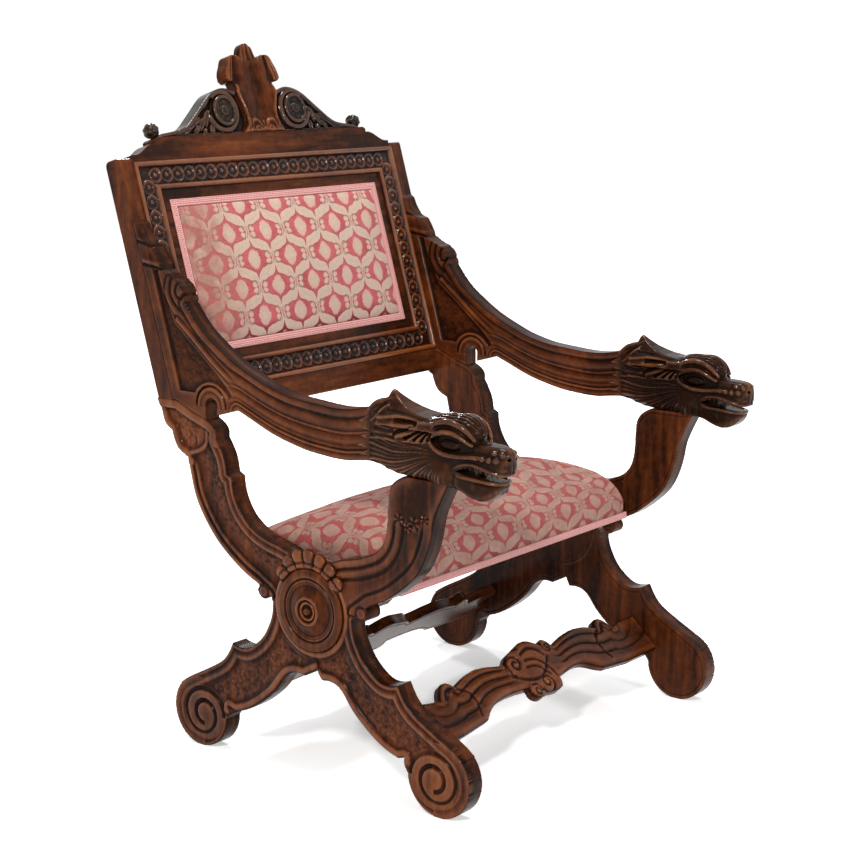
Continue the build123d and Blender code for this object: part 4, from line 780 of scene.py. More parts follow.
# ------------------------------------------------------------------ crest
shoulder = smooth([(55, 1102), (74, 1107.5), (94, 1106), (116, 1097.5), (139, 1080), (164, 1060),
                   (190, 1042.5), (208, 1038), (250, 1033)])
shield_ear = smooth([(18, 1156), (30, 1164.5), (42, 1165.5), (49, 1162.5), (57, 1150), (64, 1138),
                     (66, 1125)])
shield_side = smooth([(66, 1125), (58, 1118), (49, 1117.5), (48, 1109), (50, 1100), (46, 1085),
                      (41, 1070), (39, 1055), (40, 1045), (46, 1035), (52, 1027.5)])
shield_outline = line([(-20, 1156)], shield_ear, shield_side, [(-20, 1027.5)])
rosette_x, rosette_s = 89.0, 1068.0
ball_x, ball_s = 255.0, 1041.5
cx, cs = grid(-256.0, 256.0, 1024.0, 1112.0, 1.1)
ax = np.abs(cx)
board = inside(ax, cs, line([(-20, 1027.5), (-20, 1102)], shoulder, [(250, 1027.5)]))
shield_cut = inside(ax, cs, shield_outline)
ball_gap = np.hypot(ax - ball_x, cs - ball_s) - 14.3
d = np.minimum(np.minimum(board, -0.3 - shield_cut), ball_gap)
edge = away(ax, cs, shoulder)
rr = np.hypot(ax - rosette_x, cs - rosette_s)
aa = np.degrees(np.arctan2(cs - rosette_s, ax - rosette_x)) % 360
# ground under a raised edge, scrolls round the rosettes, then leaves toward the ends
h = np.interp(edge, [0, 2, 5, 7, 9, 30], [-.6, .6, .4, -1.5, -5.0, -5.0])
scroll_r = np.interp(aa, [0, 90, 150, 200, 270, 330, 360], [33, 33, 32, 32, 33, 35, 38])
rim = np.interp(np.abs(rr - scroll_r), [0, 2.5, 4.5, 6.5, 8], [1.6, 1.2, -.4, -3.4, -9])
h = np.maximum(h, np.where((aa > 45) & (aa < 350), rim, -9))
h = np.where(rr < 28.5, -3.0, h)
for lx, ls, tilt_deg, size, slim in ((133, 1058, 118, 17, 6.5), (146, 1048, 128, 15, 6), (158, 1052, 150, 13, 5.5),
                                     (160, 1038, 140, 12, 5), (174, 1043, 152, 12, 4.8), (186, 1035, 155, 11, 4.4),
                                     (200, 1035, 168, 11, 4.0), (216, 1033, 172, 11, 3.4), (128, 1084, 138, 14, 5.0),
                                     (124, 1038, 100, 10, 6.0), (143, 1033, 120, 8, 4.5), (232, 1031, 175, 9, 2.6)):
    t = math.radians(tilt_deg)
    du = (ax - lx) * math.cos(t) + (cs - ls) * math.sin(t)
    dv = -(ax - lx) * math.sin(t) + (cs - ls) * math.cos(t) - 0.012 * du * du
    q = np.sqrt((du / size)**2 + (dv / slim)**2)
    leaf = 2.2 * np.sqrt(np.clip(1 - q * q, 0, 1)) - 2.0 - 1.8 * np.exp(-(dv / 1.1)**2) * (q < 1)
    h = np.maximum(h, np.where(q < 1, leaf, -9))
h = np.where(cs < 1031, np.maximum(h, -1.5), h)
back_d = np.minimum(board, ball_gap)
carve("carved_crest", "crest_board",
      [raked_place(skin(d, eased(h, d, 3.0, 1.2), cx, cs, 25.0), -3.0),
       raked_place(turned_over(skin(back_d, plain_face(back_d), cx, cs, 5.0)), -31.0)], wood_crest)

sx, ss = grid(-70.0, 70.0, 1025.0, 1170.0, 1.0)
ax = np.abs(sx)
d = inside(ax, ss, shield_outline)
h = -0.3 - 5.0 * np.exp(-(sx / 21.0)**2) * ramp(ss, 1030, 1075) * (1 - ramp(ss, 1105, 1160) * 0.6)
h -= 5.0 * ramp(ax, 24, 46) * ramp(ss, 1100, 1122)
ear = np.sqrt(np.clip(1 - ((ax - 55 + (ss - 1142) * 0.28) / 10.5)**2, 0, 1))
h = np.where(ax > 40, np.maximum(h, -6.0 + 6.2 * ear * ramp(ss, 1116, 1121)), h)
h += strokes(ax, ss, ([(46, 1160), (51, 1146), (55, 1134), (57, 1122)], 1.5, -1.6))
h += 2.2 * np.exp(-((d - 3.5) / 2.6)**2) * (1 - ramp(ss, 1108, 1116))
h += strokes(ax, ss, ([(2, 1030), (10, 1044), (20, 1050), (29, 1044), (30, 1036)], 3.0, 3.0),
             ([(8, 1030), (16, 1038), (22, 1034)], 2.4, 2.4), ([(0, 1032), (0, 1046)], 2.6, 2.6),
             ([(34, 1030), (36, 1040), (33, 1052)], 2.4, 2.2))
h = eased(h, d, 3.0, 1.6)
lx, ls = grid(-28.0, 28.0, 1136.0, 1190.0, 0.9)
alx = np.abs(lx)
leaf_side = smooth([(0, 1187.5), (8, 1184), (15, 1176), (20, 1166), (23, 1158)])
leaf_d = inside(alx, ls, line([(-9, 1187.5)], leaf_side, [(17, 1140), (-9, 1140)]))
leaf_h = 2.4 * np.sqrt(np.clip(leaf_d / 10, 0, 1)) + 0.7 * np.cos(alx * 0.75 + (ls - 1150) * 0.1)
leaf_h = leaf_h - 1.5 * np.exp(-(lx / 1.3)**2) + 1.2 * ramp(ls, 1168, 1184)
carve("crest_shield_carved", "crest_shield",
      [raked_place(skin(d, h, sx, ss, 12.0), 0.5),
       raked_place(turned_over(skin(d, plain_face(d), sx, ss, 14.5)), -26.0),
       raked_place(skin(leaf_d, eased(leaf_h - 1.5, leaf_d, 3.0, 1.5), lx, ls, 9.0), -4.0),
       raked_place(turned_over(skin(leaf_d, leaf_h * 0.4 - 1.0, lx, ls, 8.0)), -19.7)], wood_up)

p, f, w = turned([(27, -1), (27, 3), (25.5, 4.6), (23.5, 5), (21.5, 4.2), (20.6, 2.2), (19.5, 1.6), (12, 1.4),
                  (9.5, 2.2), (8.4, 4), (6.5, 4.8), (4, 4), (2.6, 4.9), (0.01, 5)], 72)
bend = np.arctan2(p[:, 1], p[:, 0])
reach = np.hypot(p[:, 0], p[:, 1])
p[:, 2] += np.where((reach > 8.5) & (reach < 20), 1.5 * np.exp(-((reach - 13) / 4.2)**2) * np.cos(4 * bend), 0)
p += (rosette_x, rosette_s, 0.0)
carve_pair("rosette_turned", "rosette", [raked_place((p, f, w), -3.0)], wood_crest)

# balls at the ends of the crest, carved with slanting flutes round an eye that faces forward
rows, turns = 44, 108
tilt_k, turn_k = np.meshgrid(np.linspace(0, math.pi, rows + 2)[1:-1],
                             np.linspace(0, 2 * math.pi, turns, endpoint=False), indexing="ij")
flute = np.cos(6 * turn_k + 3.2 * np.cos(tilt_k)) * np.sin(tilt_k)**0.7
ball_r = 13.3 + 0.65 * flute - 1.1 * np.exp(-((tilt_k - 0.5) / 0.1)**2)
ball = np.stack([ball_r * np.sin(tilt_k) * np.cos(turn_k), ball_r * np.sin(tilt_k) * np.sin(turn_k),
                 ball_r * np.cos(tilt_k)], 2)
p = np.concatenate([ball.reshape(-1, 3), [(0, 0, 13.9), (0, 0, -13.4)]])
f = np.roll(ring_faces(rows, turns)[:, ::-1], 1, axis=1).tolist()
for k in range(turns):
    n = (k + 1) % turns
    f += [[rows * turns, k, n], [rows * turns + 1, (rows - 1) * turns + n, (rows - 1) * turns + k]]
# painted shade in the flutes, painted light on their crests
w = np.concatenate([(ball_r.ravel() - 13.3) * 0.9 - 0.1, [0.3, 0]])
carve_pair("crest_knob", "crest_ball", [raked_place((p + (ball_x, ball_s, 0.0), f, w), -17.0)], wood_crest, 60.0)


# ------------------------------------------------------------------ stretchers
tilt = math.radians(44.3)           # slope of the boards
top_runs = [[(-238, 33), (-224, 50), (-212, 57), (-200, 56), (-190, 46)],
            [(-190, 46), (-165, 53), (-130, 58), (-95, 55), (-66, 48), (-55, 47)],
            [(-55, 47), (-42, 57), (-15, 65), (10, 71), (28, 68), (42, 60), (48, 56)],
            [(48, 56), (61, 62), (72, 57), (78, 46)],
            [(78, 46), (100, 52), (130, 57), (158, 58), (185, 54), (208, 46)],
            [(208, 46), (218, 57), (230, 58), (242, 50), (252, 34)]]
under_runs = [[(-165, -27), (-140, -12), (-110, -5), (-75, -4), (-37, -7)],
              [(-37, -7), (-38, -19), (-28, -28), (-2, -27), (24, -29), (41, -25), (47, -9)],
              [(47, -9), (75, -6), (105, -3), (130, -8), (150, -19), (168, -27)]]
top_line = line(*[smooth(r) for r in top_runs])
under_line = line(*[smooth(r) for r in under_runs])
bar = line([(-235, -34), (-inner, -34.0), (-inner, 38.0), (-272, 38)], top_line,
           [(282, 38), (inner, 38.0), (inner, -34.0), (240, -34)], under_line[::-1])
bx, bv = grid(-inner - 1, inner + 1, -40.0, 76.0, pitch)
bd = inside(bx, bv, bar)
t_line = away(bx, bv, top_line)
u_line = away(bx, bv, line([(-inner, -34.0), (-235, -34)], under_line, [(240, -34), (inner, -34.0)]))
part_up = t_line / np.maximum(t_line + u_line, 1e-3)
reeded = np.interp(part_up, [0, .06, .16, .2, .24, .34, .4, .44, .48, .58, .64, .68, .72, .82, .9, 1],
                   [-1.5, .2, 0, -2.4, -.4, .6, -.2, -2.6, -.4, .6, -.2, -2.6, -.5, .3, 0, -1.6])
middle = 1 - ramp(np.abs(bx), 52, 84)
by_ends = ramp(np.abs(bx), 205, 232)
bh = reeded * (1 - middle) * (1 - 0.6 * by_ends)


def whorl(u, v, cu, cv, radius, way, start):
    """Scroll: a spiral groove with a round eye."""
    r = np.hypot(u - cu, v - cv)
    a = (np.degrees(np.arctan2(v - cv, (u - cu) * way)) - start) % 360.0
    g = np.zeros(u.shape)
    for k in (0, 360, 720):
        rs = radius * np.exp(-(a + k) / 330.0)
        g = np.minimum(g, np.where(rs > radius * 0.17, -2.8 * np.exp(-((r - rs) / (radius * 0.085 + 0.7))**2), 0))
    return (g + 1.4 * np.exp(-(r / (radius * 0.2))**2)) * (1 - ramp(r, radius * 1.05, radius * 1.25))


scrolls = sum(whorl(bx, bv, *s) for s in ((-36, 38, 24, -1, 300), (61, 47, 13, 1, 120), (-24, -17, 13, -1, 60),
                                          (8, -10, 22, 1, 200)))
swirl = strokes(bx, bv, ([(-60, 22), (-30, 6), (0, 2), (26, 12), (46, 30)], 2.8, -2.6),
                ([(-64, 34), (-58, 44), (-40, 60), (-10, 62)], 2.4, -2.2),
                ([(-12, 50), (10, 56), (30, 48), (40, 36)], 2.6, -2.4),
                ([(-10, 38), (8, 36), (24, 26), (34, 12), (40, -8)], 2.6, -2.4),
                ([(-16, 26), (2, 24), (16, 14), (26, 0)], 2.4, -2.0))
bh = bh + middle * (scrolls + swirl + 1.0 + 1.2 * np.exp(-((bx - 10) / 40)**2))
bh = bh + strokes(bx, bv, ([(-226, 30), (-212, 44), (-199, 42), (-196, 30)], 2.6, -2.6),
                  ([(-215, 34), (-207, 38)], 3, 1.5), ([(218, 34), (229, 46), (242, 40), (243, 30)], 2.6, -2.6),
                  ([(-190, 38), (-172, 26), (-168, 8), (-176, -16)], 2.6, -2.4),
                  ([(206, 38), (190, 24), (188, 4), (196, -16)], 2.6, -2.4))
bh = eased(bh - 0.8, bd, 9.0, 6.0)


def stretcher_place(part, way, depth=0.0):
    """Board coordinates to the frame; way is -1 for the front one, +1 for the rear one."""
    p, f, w = part
    x_dir = np.array([-way, 0, 0])
    n = np.array([0, way * math.cos(math.pi / 2 - tilt), math.sin(math.pi / 2 - tilt)])
    centre = np.array([0, way * (mirror + 236.9) + mirror, 111.4])
    q = centre + np.outer(p[:, 0], x_dir) + np.outer(p[:, 1], np.cross(n, x_dir)) + np.outer(p[:, 2] - depth, n)
    return q / 1000, f, w


back_face = turned_over(skin(bd, plain_face(bd), bx, bv, 9.5))
for name, relief, way in (("front", bh, -1), ("rear", eased(np.zeros(bd.shape), bd), 1)):
    carve("scroll_stretcher_" + name, name + "_stretcher",
          [stretcher_place(skin(bd, relief, bx, bv, 9.5), way), stretcher_place(back_face, way, 19.0)], wood_across)


# ------------------------------------------------------------------ beast heads
def net(f, origin, pitch):
    """Closed surface of a volume where f > 0: one vertex for each mixed cell."""
    n = f.shape
    solid = f > 0
    total = np.zeros(tuple(k - 1 for k in n) + (3,))
    count = np.zeros(tuple(k - 1 for k in n))
    for axis in range(3):
        a = [slice(None)] * 3
        b = [slice(None)] * 3
        a[axis], b[axis] = slice(0, -1), slice(1, None)
        f0, f1 = f[tuple(a)], f[tuple(b)]
        cut = solid[tuple(a)] != solid[tuple(b)]
        t = np.where(cut, f0 / np.where(cut, f0 - f1, 1), 0)
        others = [k for k in range(3) if k != axis]
        for i in (0, 1):
            for j in (0, 1):
                s = [slice(None)] * 3
                s[others[0]] = slice(i, n[others[0]] - 1 + i)
                s[others[1]] = slice(j, n[others[1]] - 1 + j)
                c, tt = cut[tuple(s)], t[tuple(s)]
                count += c
                total[..., axis] += c * tt
                total[..., others[0]] += c * i
                total[..., others[1]] += c * j
    mixed = count > 0
    cells = np.argwhere(mixed)
    verts = origin + (cells + total[mixed] / count[mixed][:, None]) * pitch
    index = -np.ones(mixed.shape, int)
    index[mixed] = np.arange(len(cells))
    faces = []
    for axis in range(3):
        o1, o2 = (axis + 1) % 3, (axis + 2) % 3
        a = [slice(None)] * 3
        b = [slice(None)] * 3
        a[axis], b[axis] = slice(0, -1), slice(1, None)
        at = np.argwhere(solid[tuple(a)] != solid[tuple(b)])
        at = at[(at[:, o1] > 0) & (at[:, o2] > 0) & (at[:, o1] < n[o1] - 1) & (at[:, o2] < n[o2] - 1)]
        ring = []
        for i, j in ((1, 1), (0, 1), (0, 0), (1, 0)):
            c = at.copy()
            c[:, o1] -= i
            c[:, o2] -= j
            ring.append(index[tuple(c.T)])
        ring = np.stack(ring, 1)
        inward = solid[tuple(at.T)]
        ring[~inward] = ring[~inward][:, ::-1]
        faces.append(ring)
    return verts, np.concatenate(faces), cells


def join(a, b, k):
    """Smooth union of two solids."""
    h = np.clip(0.5 + 0.5 * (a - b) / k, 0, 1)
    return b + (a - b) * h + k * h * (1 - h)


def cut_away(a, b, k):
    """Smooth cut of b out of a."""
    return -join(-a, b, k)


head_pitch = 1.25
head_a, head_z = 144.0, 492.0       # rear lower corner of the volume: a runs forward, t sideways, z up
ha, ht, hz = np.meshgrid(np.arange(head_a, 430.0, head_pitch), np.arange(-head_pitch / 2, 37.0, head_pitch),
                         np.arange(head_z, 645.0, head_pitch), indexing="ij")
la, lz = ha[:, 0, :], hz[:, 0, :]


def sections(table, taper=0.0):
    """Solid with rounded sections: a, bottom, top, half width, corner radius."""
    table = np.array(table, float)
    low, high, half, corner = (np.interp(ha, table[:, 0], table[:, k]) for k in (1, 2, 3, 4))
    half = half - taper * np.maximum(hz - 560, 0)
    qt = np.abs(ht) - half + corner
    qz = np.abs(hz - (low + high) / 2) - (high - low) / 2 + corner
    out = np.hypot(np.maximum(qt, 0), np.maximum(qz, 0)) + np.minimum(np.maximum(qt, qz), 0) - corner
    return -np.maximum(out, np.maximum(table[0][0] - ha, ha - table[-1][0]))


def egg(a, t, z, ra, rt, rz):
    """Ellipsoid, as a rough signed distance."""
    q = np.sqrt(((ha - a) / ra)**2 + ((ht - t) / rt)**2 + ((hz - z) / rz)**2)
    return (1 - q) * min(ra, rt, rz)


def cord(points, radii):
    """Rounded cord through points (a, t, z), with a radius at each."""
    p = smooth([(*q, r) for q, r in zip(points, radii)], 5.0)
    best = np.full(ha.shape, -1e9)
    for s, e in zip(p[:-1], p[1:]):
        d = e[:3] - s[:3]
        w = np.clip(((ha - s[0]) * d[0] + (ht - s[1]) * d[1] + (hz - s[2]) * d[2]) / max((d * d).sum(), 1e-9), 0, 1)
        dist = np.sqrt((ha - s[0] - w * d[0])**2 + (ht - s[1] - w * d[1])**2 + (hz - s[2] - w * d[2])**2)
        np.maximum(best, s[3] + w * (e[3] - s[3]) - dist, out=best)
    return best


skull = sections([(170.0, 529, 609, 16.5, 2.5), (180, 527.5, 615, 18.5, 8), (190, 525, 620, 20.5, 13),
                  (202, 521, 623, 22.5, 17), (216, 517, 622, 24.5, 20), (232, 514.5, 612, 26, 22),
                  (250, 514, 604, 27.5, 23), (270, 514, 600, 28.5, 24), (290, 513, 599, 29, 24),
                  (315, 512, 600, 29, 24), (328, 511, 600, 28.5, 23), (345, 508, 596, 27, 22),
                  (358, 505, 588, 25.5, 20), (370, 504, 576, 23.5, 17)])
muzzle = sections([(335.0, 541, 579, 24.5, 11), (352, 546, 579, 25, 10), (372, 547.5, 578.7, 24.5, 9),
                   (388, 544.5, 578.5, 23.5, 9), (400, 540.5, 578, 22.3, 9), (410, 538, 577.3, 20.5, 9),
                   (417, 537.5, 576, 17.5, 9), (422, 540, 573.5, 12.5, 8), (424.6, 546, 569, 7, 6)], 0.3)
jaw = sections([(318.0, 512, 538, 25.5, 10), (336, 511, 535, 25.5, 8), (346, 508.5, 533, 25.5, 8),
                (356, 503.5, 532, 25, 8), (366, 499.3, 531.5, 24.5, 9), (377, 496.6, 531, 23.8, 10),
                (388, 498, 529.5, 22, 10), (397, 502.5, 528.5, 19.5, 9), (405, 509, 528, 16, 7),
                (410, 515, 527.5, 12, 5), (413, 520, 527, 8, 3)])
f = join(skull, egg(311, 15, 536, 27, 17, 26), 5.0)
f = join(f, jaw, 6.0)
f = join(f, muzzle, 4.0)
dome = join(egg(319, 0, 583.5, 51, 31.0, 32.8), egg(344, 0, 590.5, 27.5, 26.5, 26.5), 6.0)
f = join(f, dome, 3.5)
# pointed crest of hair behind the brow
tuft = np.array([(196, 590), (199, 614), (202, 625), (204.5, 636), (207.3, 640.4), (211, 638.5), (219, 631.5),
                 (232, 623), (247, 616.5), (262, 612), (278, 609.5), (296, 607), (310, 590)], float)
side = inside(la, lz, tuft)[:, None, :]
half = 2.4 + np.maximum(640 - hz, 0) * 0.66
f = join(f, -join(-(side + 0 * ht), -(half - np.abs(ht)) * 0.83, 3.0), 5.0)
# neck hair that sweeps up to the tuft
f = join(f, cord([(172, 14, 608), (182, 15.5, 615.5), (194, 14.5, 621.5), (206, 11, 624), (216, 7, 626)],
                 [3.0, 4.0, 4.5, 4.0, 3.0]), 3.0)

# mouth, cut from each side, with the lips round it
mouth = inside(la, lz, line(smooth([(341, 538.5), (350, 542.5), (366, 545), (380, 543), (391, 540.5), (404, 537.5),
                                    (416, 536), (432, 536.5)]),
                            smooth([(432, 529), (418, 529), (404, 528.6), (390, 529.5), (376, 531), (360, 533),
                                    (349, 535.5), (341, 538.5)])))
f = np.minimum(f, -np.minimum(mouth[:, None, :] + 0 * ht, ht - np.interp(ha, [340, 400, 415], [14.0, 12.0, 8.0])))
f = join(f, cord([(336, 26, 541), (346, 26.3, 546.5), (358, 26, 550), (370, 25.5, 550.8), (384, 24.2, 548),
                  (396, 22.5, 544.5), (406, 20, 541.5), (414, 15.5, 540), (419.5, 9, 540), (421, 0, 540.5)],
                 [1.8, 2.4, 2.8, 3.0, 3.0, 3.0, 3.0, 3.0, 3.0, 3.0]), 1.5)
f = join(f, cord([(338, 26, 536), (348, 26.6, 531.5), (360, 26, 530.2), (374, 25, 529.2), (388, 22.8, 527.6),
                  (399, 20, 526.4), (407, 15.5, 526), (412, 8.5, 526), (413.5, 0, 526)],
                 [1.8, 2.2, 2.4, 2.6, 2.6, 2.6, 2.6, 2.6, 2.6]), 1.5)
for a, t, z, size in ((358, 24.3, 547.5, 1.8), (366, 24, 547.5, 2.0), (374, 23.6, 546.5, 2.0), (383, 22.8, 544.5, 2.2),
                      (392, 21.5, 542, 2.6), (401, 19.5, 539, 2.4), (408, 16, 537.5, 2.0)):
    f = join(f, cord([(a, t, z), (a, t - 0.5, z - 2.5), (a - 0.5, t - 1, z - 5.2)], [size, size * 0.8, 0.7]), 0.8)

# eye: socket, ball, lids
eye_cut = inside(la, lz, smooth([(294, 578), (300, 571), (311, 566), (326, 563.5), (343, 563.5), (358, 565.5),
                                 (372, 570), (362, 577), (350, 583.5), (336, 587.5), (322, 588), (308, 584.5),
                                 (298, 580.5), (294, 578)]))
f = cut_away(f, np.minimum(eye_cut[:, None, :] + 0 * ht, ht - 19.5), 2.5)
f = join(f, egg(327, 18.5, 573, 19, 7.6, 8.0), 0.8)
f = cut_away(f, egg(334, 27.5, 573.5, 3.0, 4.0, 2.8), 1.0)
f = cut_away(f, cord([(310, 25, 570.5), (326, 27.2, 567.5), (343, 25, 569.5)], [0.7, 0.9, 0.7]), 0.8)
f = join(f, cord([(294, 26.8, 579), (298, 28.2, 573), (306, 29.2, 566.5), (316, 29.6, 562.3), (328, 29.6, 560.2),
                  (343, 28.8, 559.8), (358, 27.4, 560.6), (373, 25.8, 561.6), (386, 24.6, 561.8)],
                 [2.0, 2.8, 3.2, 3.4, 3.6, 3.4, 3.4, 3.4, 3.2]), 2.2)
f = join(f, cord([(298, 27.4, 584), (306, 28.6, 589), (317, 29.3, 592.6), (329, 29.3, 593.6), (341, 28.6, 592),
                  (351, 27.2, 587.8), (360, 25.4, 582.5), (368, 23, 577.5)],
                 [2.2, 3.0, 3.6, 3.8, 3.8, 3.6, 3.2, 2.4]), 2.2)
f = join(f, cord([(294, 26.0, 588), (300, 27.4, 598), (309, 27.9, 604), (320, 27.8, 607.4), (332, 27.6, 608),
                  (343, 26.8, 605.5), (354, 25.0, 600.5), (363, 22.6, 593), (370, 19.5, 584.5)],
                 [2.0, 3.0, 3.8, 4.2, 4.4, 4.4, 4.2, 3.6, 2.6]), 2.8)
f = cut_away(f, cord([(303, 31.5, 594), (312, 31.5, 599), (324, 31.6, 601), (336, 31.3, 600), (347, 29.8, 596),
                      (357, 27.6, 589.5), (365, 24.5, 582.5)], [1.0, 1.6, 1.9, 1.9, 1.9, 1.6, 1.0]), 1.6)
# hair of the brow, in flutes that run forward and down
phi = np.degrees(np.arctan2((hz - 583) / 32.8, np.maximum(ht, 0) / 31.0))
lane = (phi - 49.0 + 0.05 * (ha - 330)) / 11.5
groove = np.exp(-(np.abs(lane - np.round(lane)) / 0.2)**1.7)
on_dome = ramp(ha, 290, 312) * ramp(phi, 44, 52) * (1 - ramp(phi, 118, 124)) * ramp(dome, -7.0, -3.0)
f = f - 1.9 * groove * on_dome + 0.5 * on_dome

# bumps along the whisker ridge, nostrils and the end of the nose
for a, t, z, r in ((377, 25.6, 561, 3.6), (388, 24.6, 560.6, 4.0), (398, 22.6, 560.2, 4.6), (408, 19.0, 560.5, 5.4),
                   (404, 17.5, 569.8, 4.6), (414, 13.0, 567.5, 5.4), (416, 12, 557, 4.6), (417, 12, 547.5, 4.4)):
    f = join(f, egg(a, t, z, r * 1.15, r, r), 1.4)
f = cut_away(f, cord([(368, 26.3, 568.5), (382, 25.2, 568.8), (395, 23.2, 568)], [1.8, 2.4, 1.8]), 2.2)
f = cut_away(f, cord([(362, 28, 555.2), (378, 26.6, 555.4), (392, 25, 553.2), (403, 22.5, 549.5)],
                     [0.9, 1.5, 1.5, 1.0]), 1.6)
f = cut_away(f, egg(421.5, 7.5, 562, 4.0, 3.2, 2.6), 1.2)
f = cut_away(f, cord([(414, 0, 578.6), (421, 0, 575), (426, 0, 566), (426, 0, 552), (423, 0, 541)],
                     [1.4, 1.6, 1.7, 1.7, 1.4]), 1.0)

# carved hair on the cheek and the neck, seen from the side: wavy strands from behind the eye
relief = np.zeros(la.shape)
ra, rz = 324.0 - la, 557.0 - lz
reach = np.hypot(ra, rz)
turn = np.degrees(np.arctan2(rz, ra)) + 2.2 * np.sin(reach / 21.0 + 0.6) - 0.018 * reach
strand = 1.45 * np.interp(turn, [-11, -7, -3, 1.5, 6, 10.5, 15.5, 21, 28, 36, 46, 58, 72, 90], np.arange(14.0))
part = strand - np.floor(strand)
lift = 0.95 + 0.35 * np.sin(2.3 * np.floor(strand) + 0.8)
hair = 2.3 * lift * (1 - np.abs(2 * part - 1)**2.4) - 1.3
hair += 0.4 * np.cos(2 * np.pi * 2 * strand)
hair_on = ramp(reach, 22, 40) * ramp(572 + 0.03 * (230 - la) - lz, 0, 5)
hair_on = hair_on * ramp(330 - la - 0.35 * (lz - 514), 0, 14) * ramp(la, 166, 178)
relief += hair * hair_on
relief += strokes(la, lz, ([(176, 566), (200, 568.5), (225, 569), (250, 570), (275, 572), (298, 576)], 1.8, 2.2))
relief += strokes(la, lz, ([(176, 571.5), (205, 573.5), (228, 573)], 1.8, -1.6))
# jaw muscle: soft swelling with a crease before it
relief += strokes(la, lz, ([(312, 518), (322, 532), (328, 546)], 6, 0.9),
                  ([(338, 513), (338, 524), (340, 533)], 3.2, -1.4))
# locks behind the eye that curl down and back
locks = [([(300, 602), (286, 599), (267, 590.5), (248, 581), (234, 575.5)], 4.6, 4.2),
         ([(300, 600), (289, 596), (275, 588), (263, 579), (257, 573.5)], 3.4, 4.0),
         ([(300, 597), (293, 594), (284.5, 587), (276.5, 579), (273.5, 573.5)], 3.0, 4.0),
         ([(301, 594), (297, 590.5), (292.5, 585), (288, 577)], 2.4, 3.6)]
gaps = [([(288, 594.5), (271, 585.5), (259, 578.5), (248, 574)], 1.9, -7.5),
        ([(292, 592.5), (279.5, 584), (267, 574)], 1.8, -7.5), ([(295, 590), (288, 583), (281, 574)], 1.7, -6.5),
        ([(298, 587), (294, 581), (293, 576)], 1.8, -5.5),
        ([(272, 597.5), (254, 590), (236, 583), (224, 577.5)], 2.4, -6.0)]
relief += strokes(la, lz, *locks) + strokes(la, lz, *gaps)
# hollow at the root of the crest, under a rolled edge
relief += strokes(la, lz, ([(198, 600), (215, 602.5), (237, 605.3), (264, 603), (291, 600)], 2.6, 3.0),
                  ([(232, 598), (246, 599), (258, 599.6), (270, 599)], 3.4, -7.0),
                  ([(196, 594), (205, 592), (218, 589)], 4.6, -4.5),
                  ([(222, 588), (236, 591.5), (252, 593.5), (268, 597)], 2.4, 2.6),
                  ([(186, 582), (205, 580), (222, 582)], 3.6, -4.0),
                  ([(178, 592), (190, 600), (202, 611), (212, 619.5)], 2.2, 2.2),
                  ([(186, 606), (196, 613), (204, 621)], 1.6, -2.4), ([(212, 612), (226, 611), (244, 609)], 1.8, -1.8),
                  ([(212, 632), (221, 625.5), (235, 619)], 1.2, -1.0))
gt = np.gradient(f, head_pitch, axis=1)
sideways = np.clip(-gt * 1.15, 0, 1)
f = f + relief[:, None, :] * sideways
# flat faces: the joint with the arm and the seat on the support
tips = np.full(la.shape, -1e9)
for tip in ([(176, 575), (170, 571), (156, 566), (170, 562), (176, 560)],
            [(176, 562), (168, 559), (148, 551), (168, 549), (176, 548)],
            [(176, 550), (170, 547), (154, 538), (170, 537), (176, 536)],
            [(176, 600), (168, 597), (152, 588), (167, 586), (176, 586)],
            [(176, 587), (168, 584), (159, 578), (170, 576), (176, 576)],
            [(176, 538), (172, 536), (163, 530.5), (176, 530)]):
    tips = np.maximum(tips, inside(la, lz, tip))
leaf = np.minimum(np.minimum(tips[:, None, :] + 0 * ht, 18.4 - ht), ht - 13.0)
f = join(np.minimum(f, ha - 170.1), leaf, 0.8)
f = np.minimum(f, np.where(ha < 323, hz - 513.9, 10.0))
f = np.minimum(f, 32.9 - np.abs(ht))
full = np.concatenate([f[:, :0:-1], f[:, 1:]], axis=1)
soft = blur(full, max(1, round(3.0 / head_pitch))) - full
origin = np.array([head_a, -(f.shape[1] - 1) * head_pitch + head_pitch / 2, head_z])
verts, quads, cells = net(full, origin, head_pitch)
# painted shade in the hollows and painted light on the crests, more painted shade in the eye socket, and darker behind
# the front of the muzzle
head_wear_and_shade = -1.3 * sum(soft[tuple((cells + (i, j, k)).T)] for i in (0, 1) for j in (0, 1) for k in (0, 1)) / 8
head_wear_and_shade -= 0.7 * ramp(eye_cut[cells[:, 0], cells[:, 2]], -1.0, 1.5) + 0.3 * ramp(-verts[:, 0], -440, -380)
p = np.stack([side_middle + verts[:, 1], -verts[:, 0], verts[:, 2]], 1) / 1000
carve_pair("carved_head", "beast_head", [(p, quads.tolist(), head_wear_and_shade)], wood_head, 60.0)


# ------------------------------------------------------------------ fabrics
net_u, net_v = 45.0, 48.5           # half the repeat of the damask, measured in the photograph


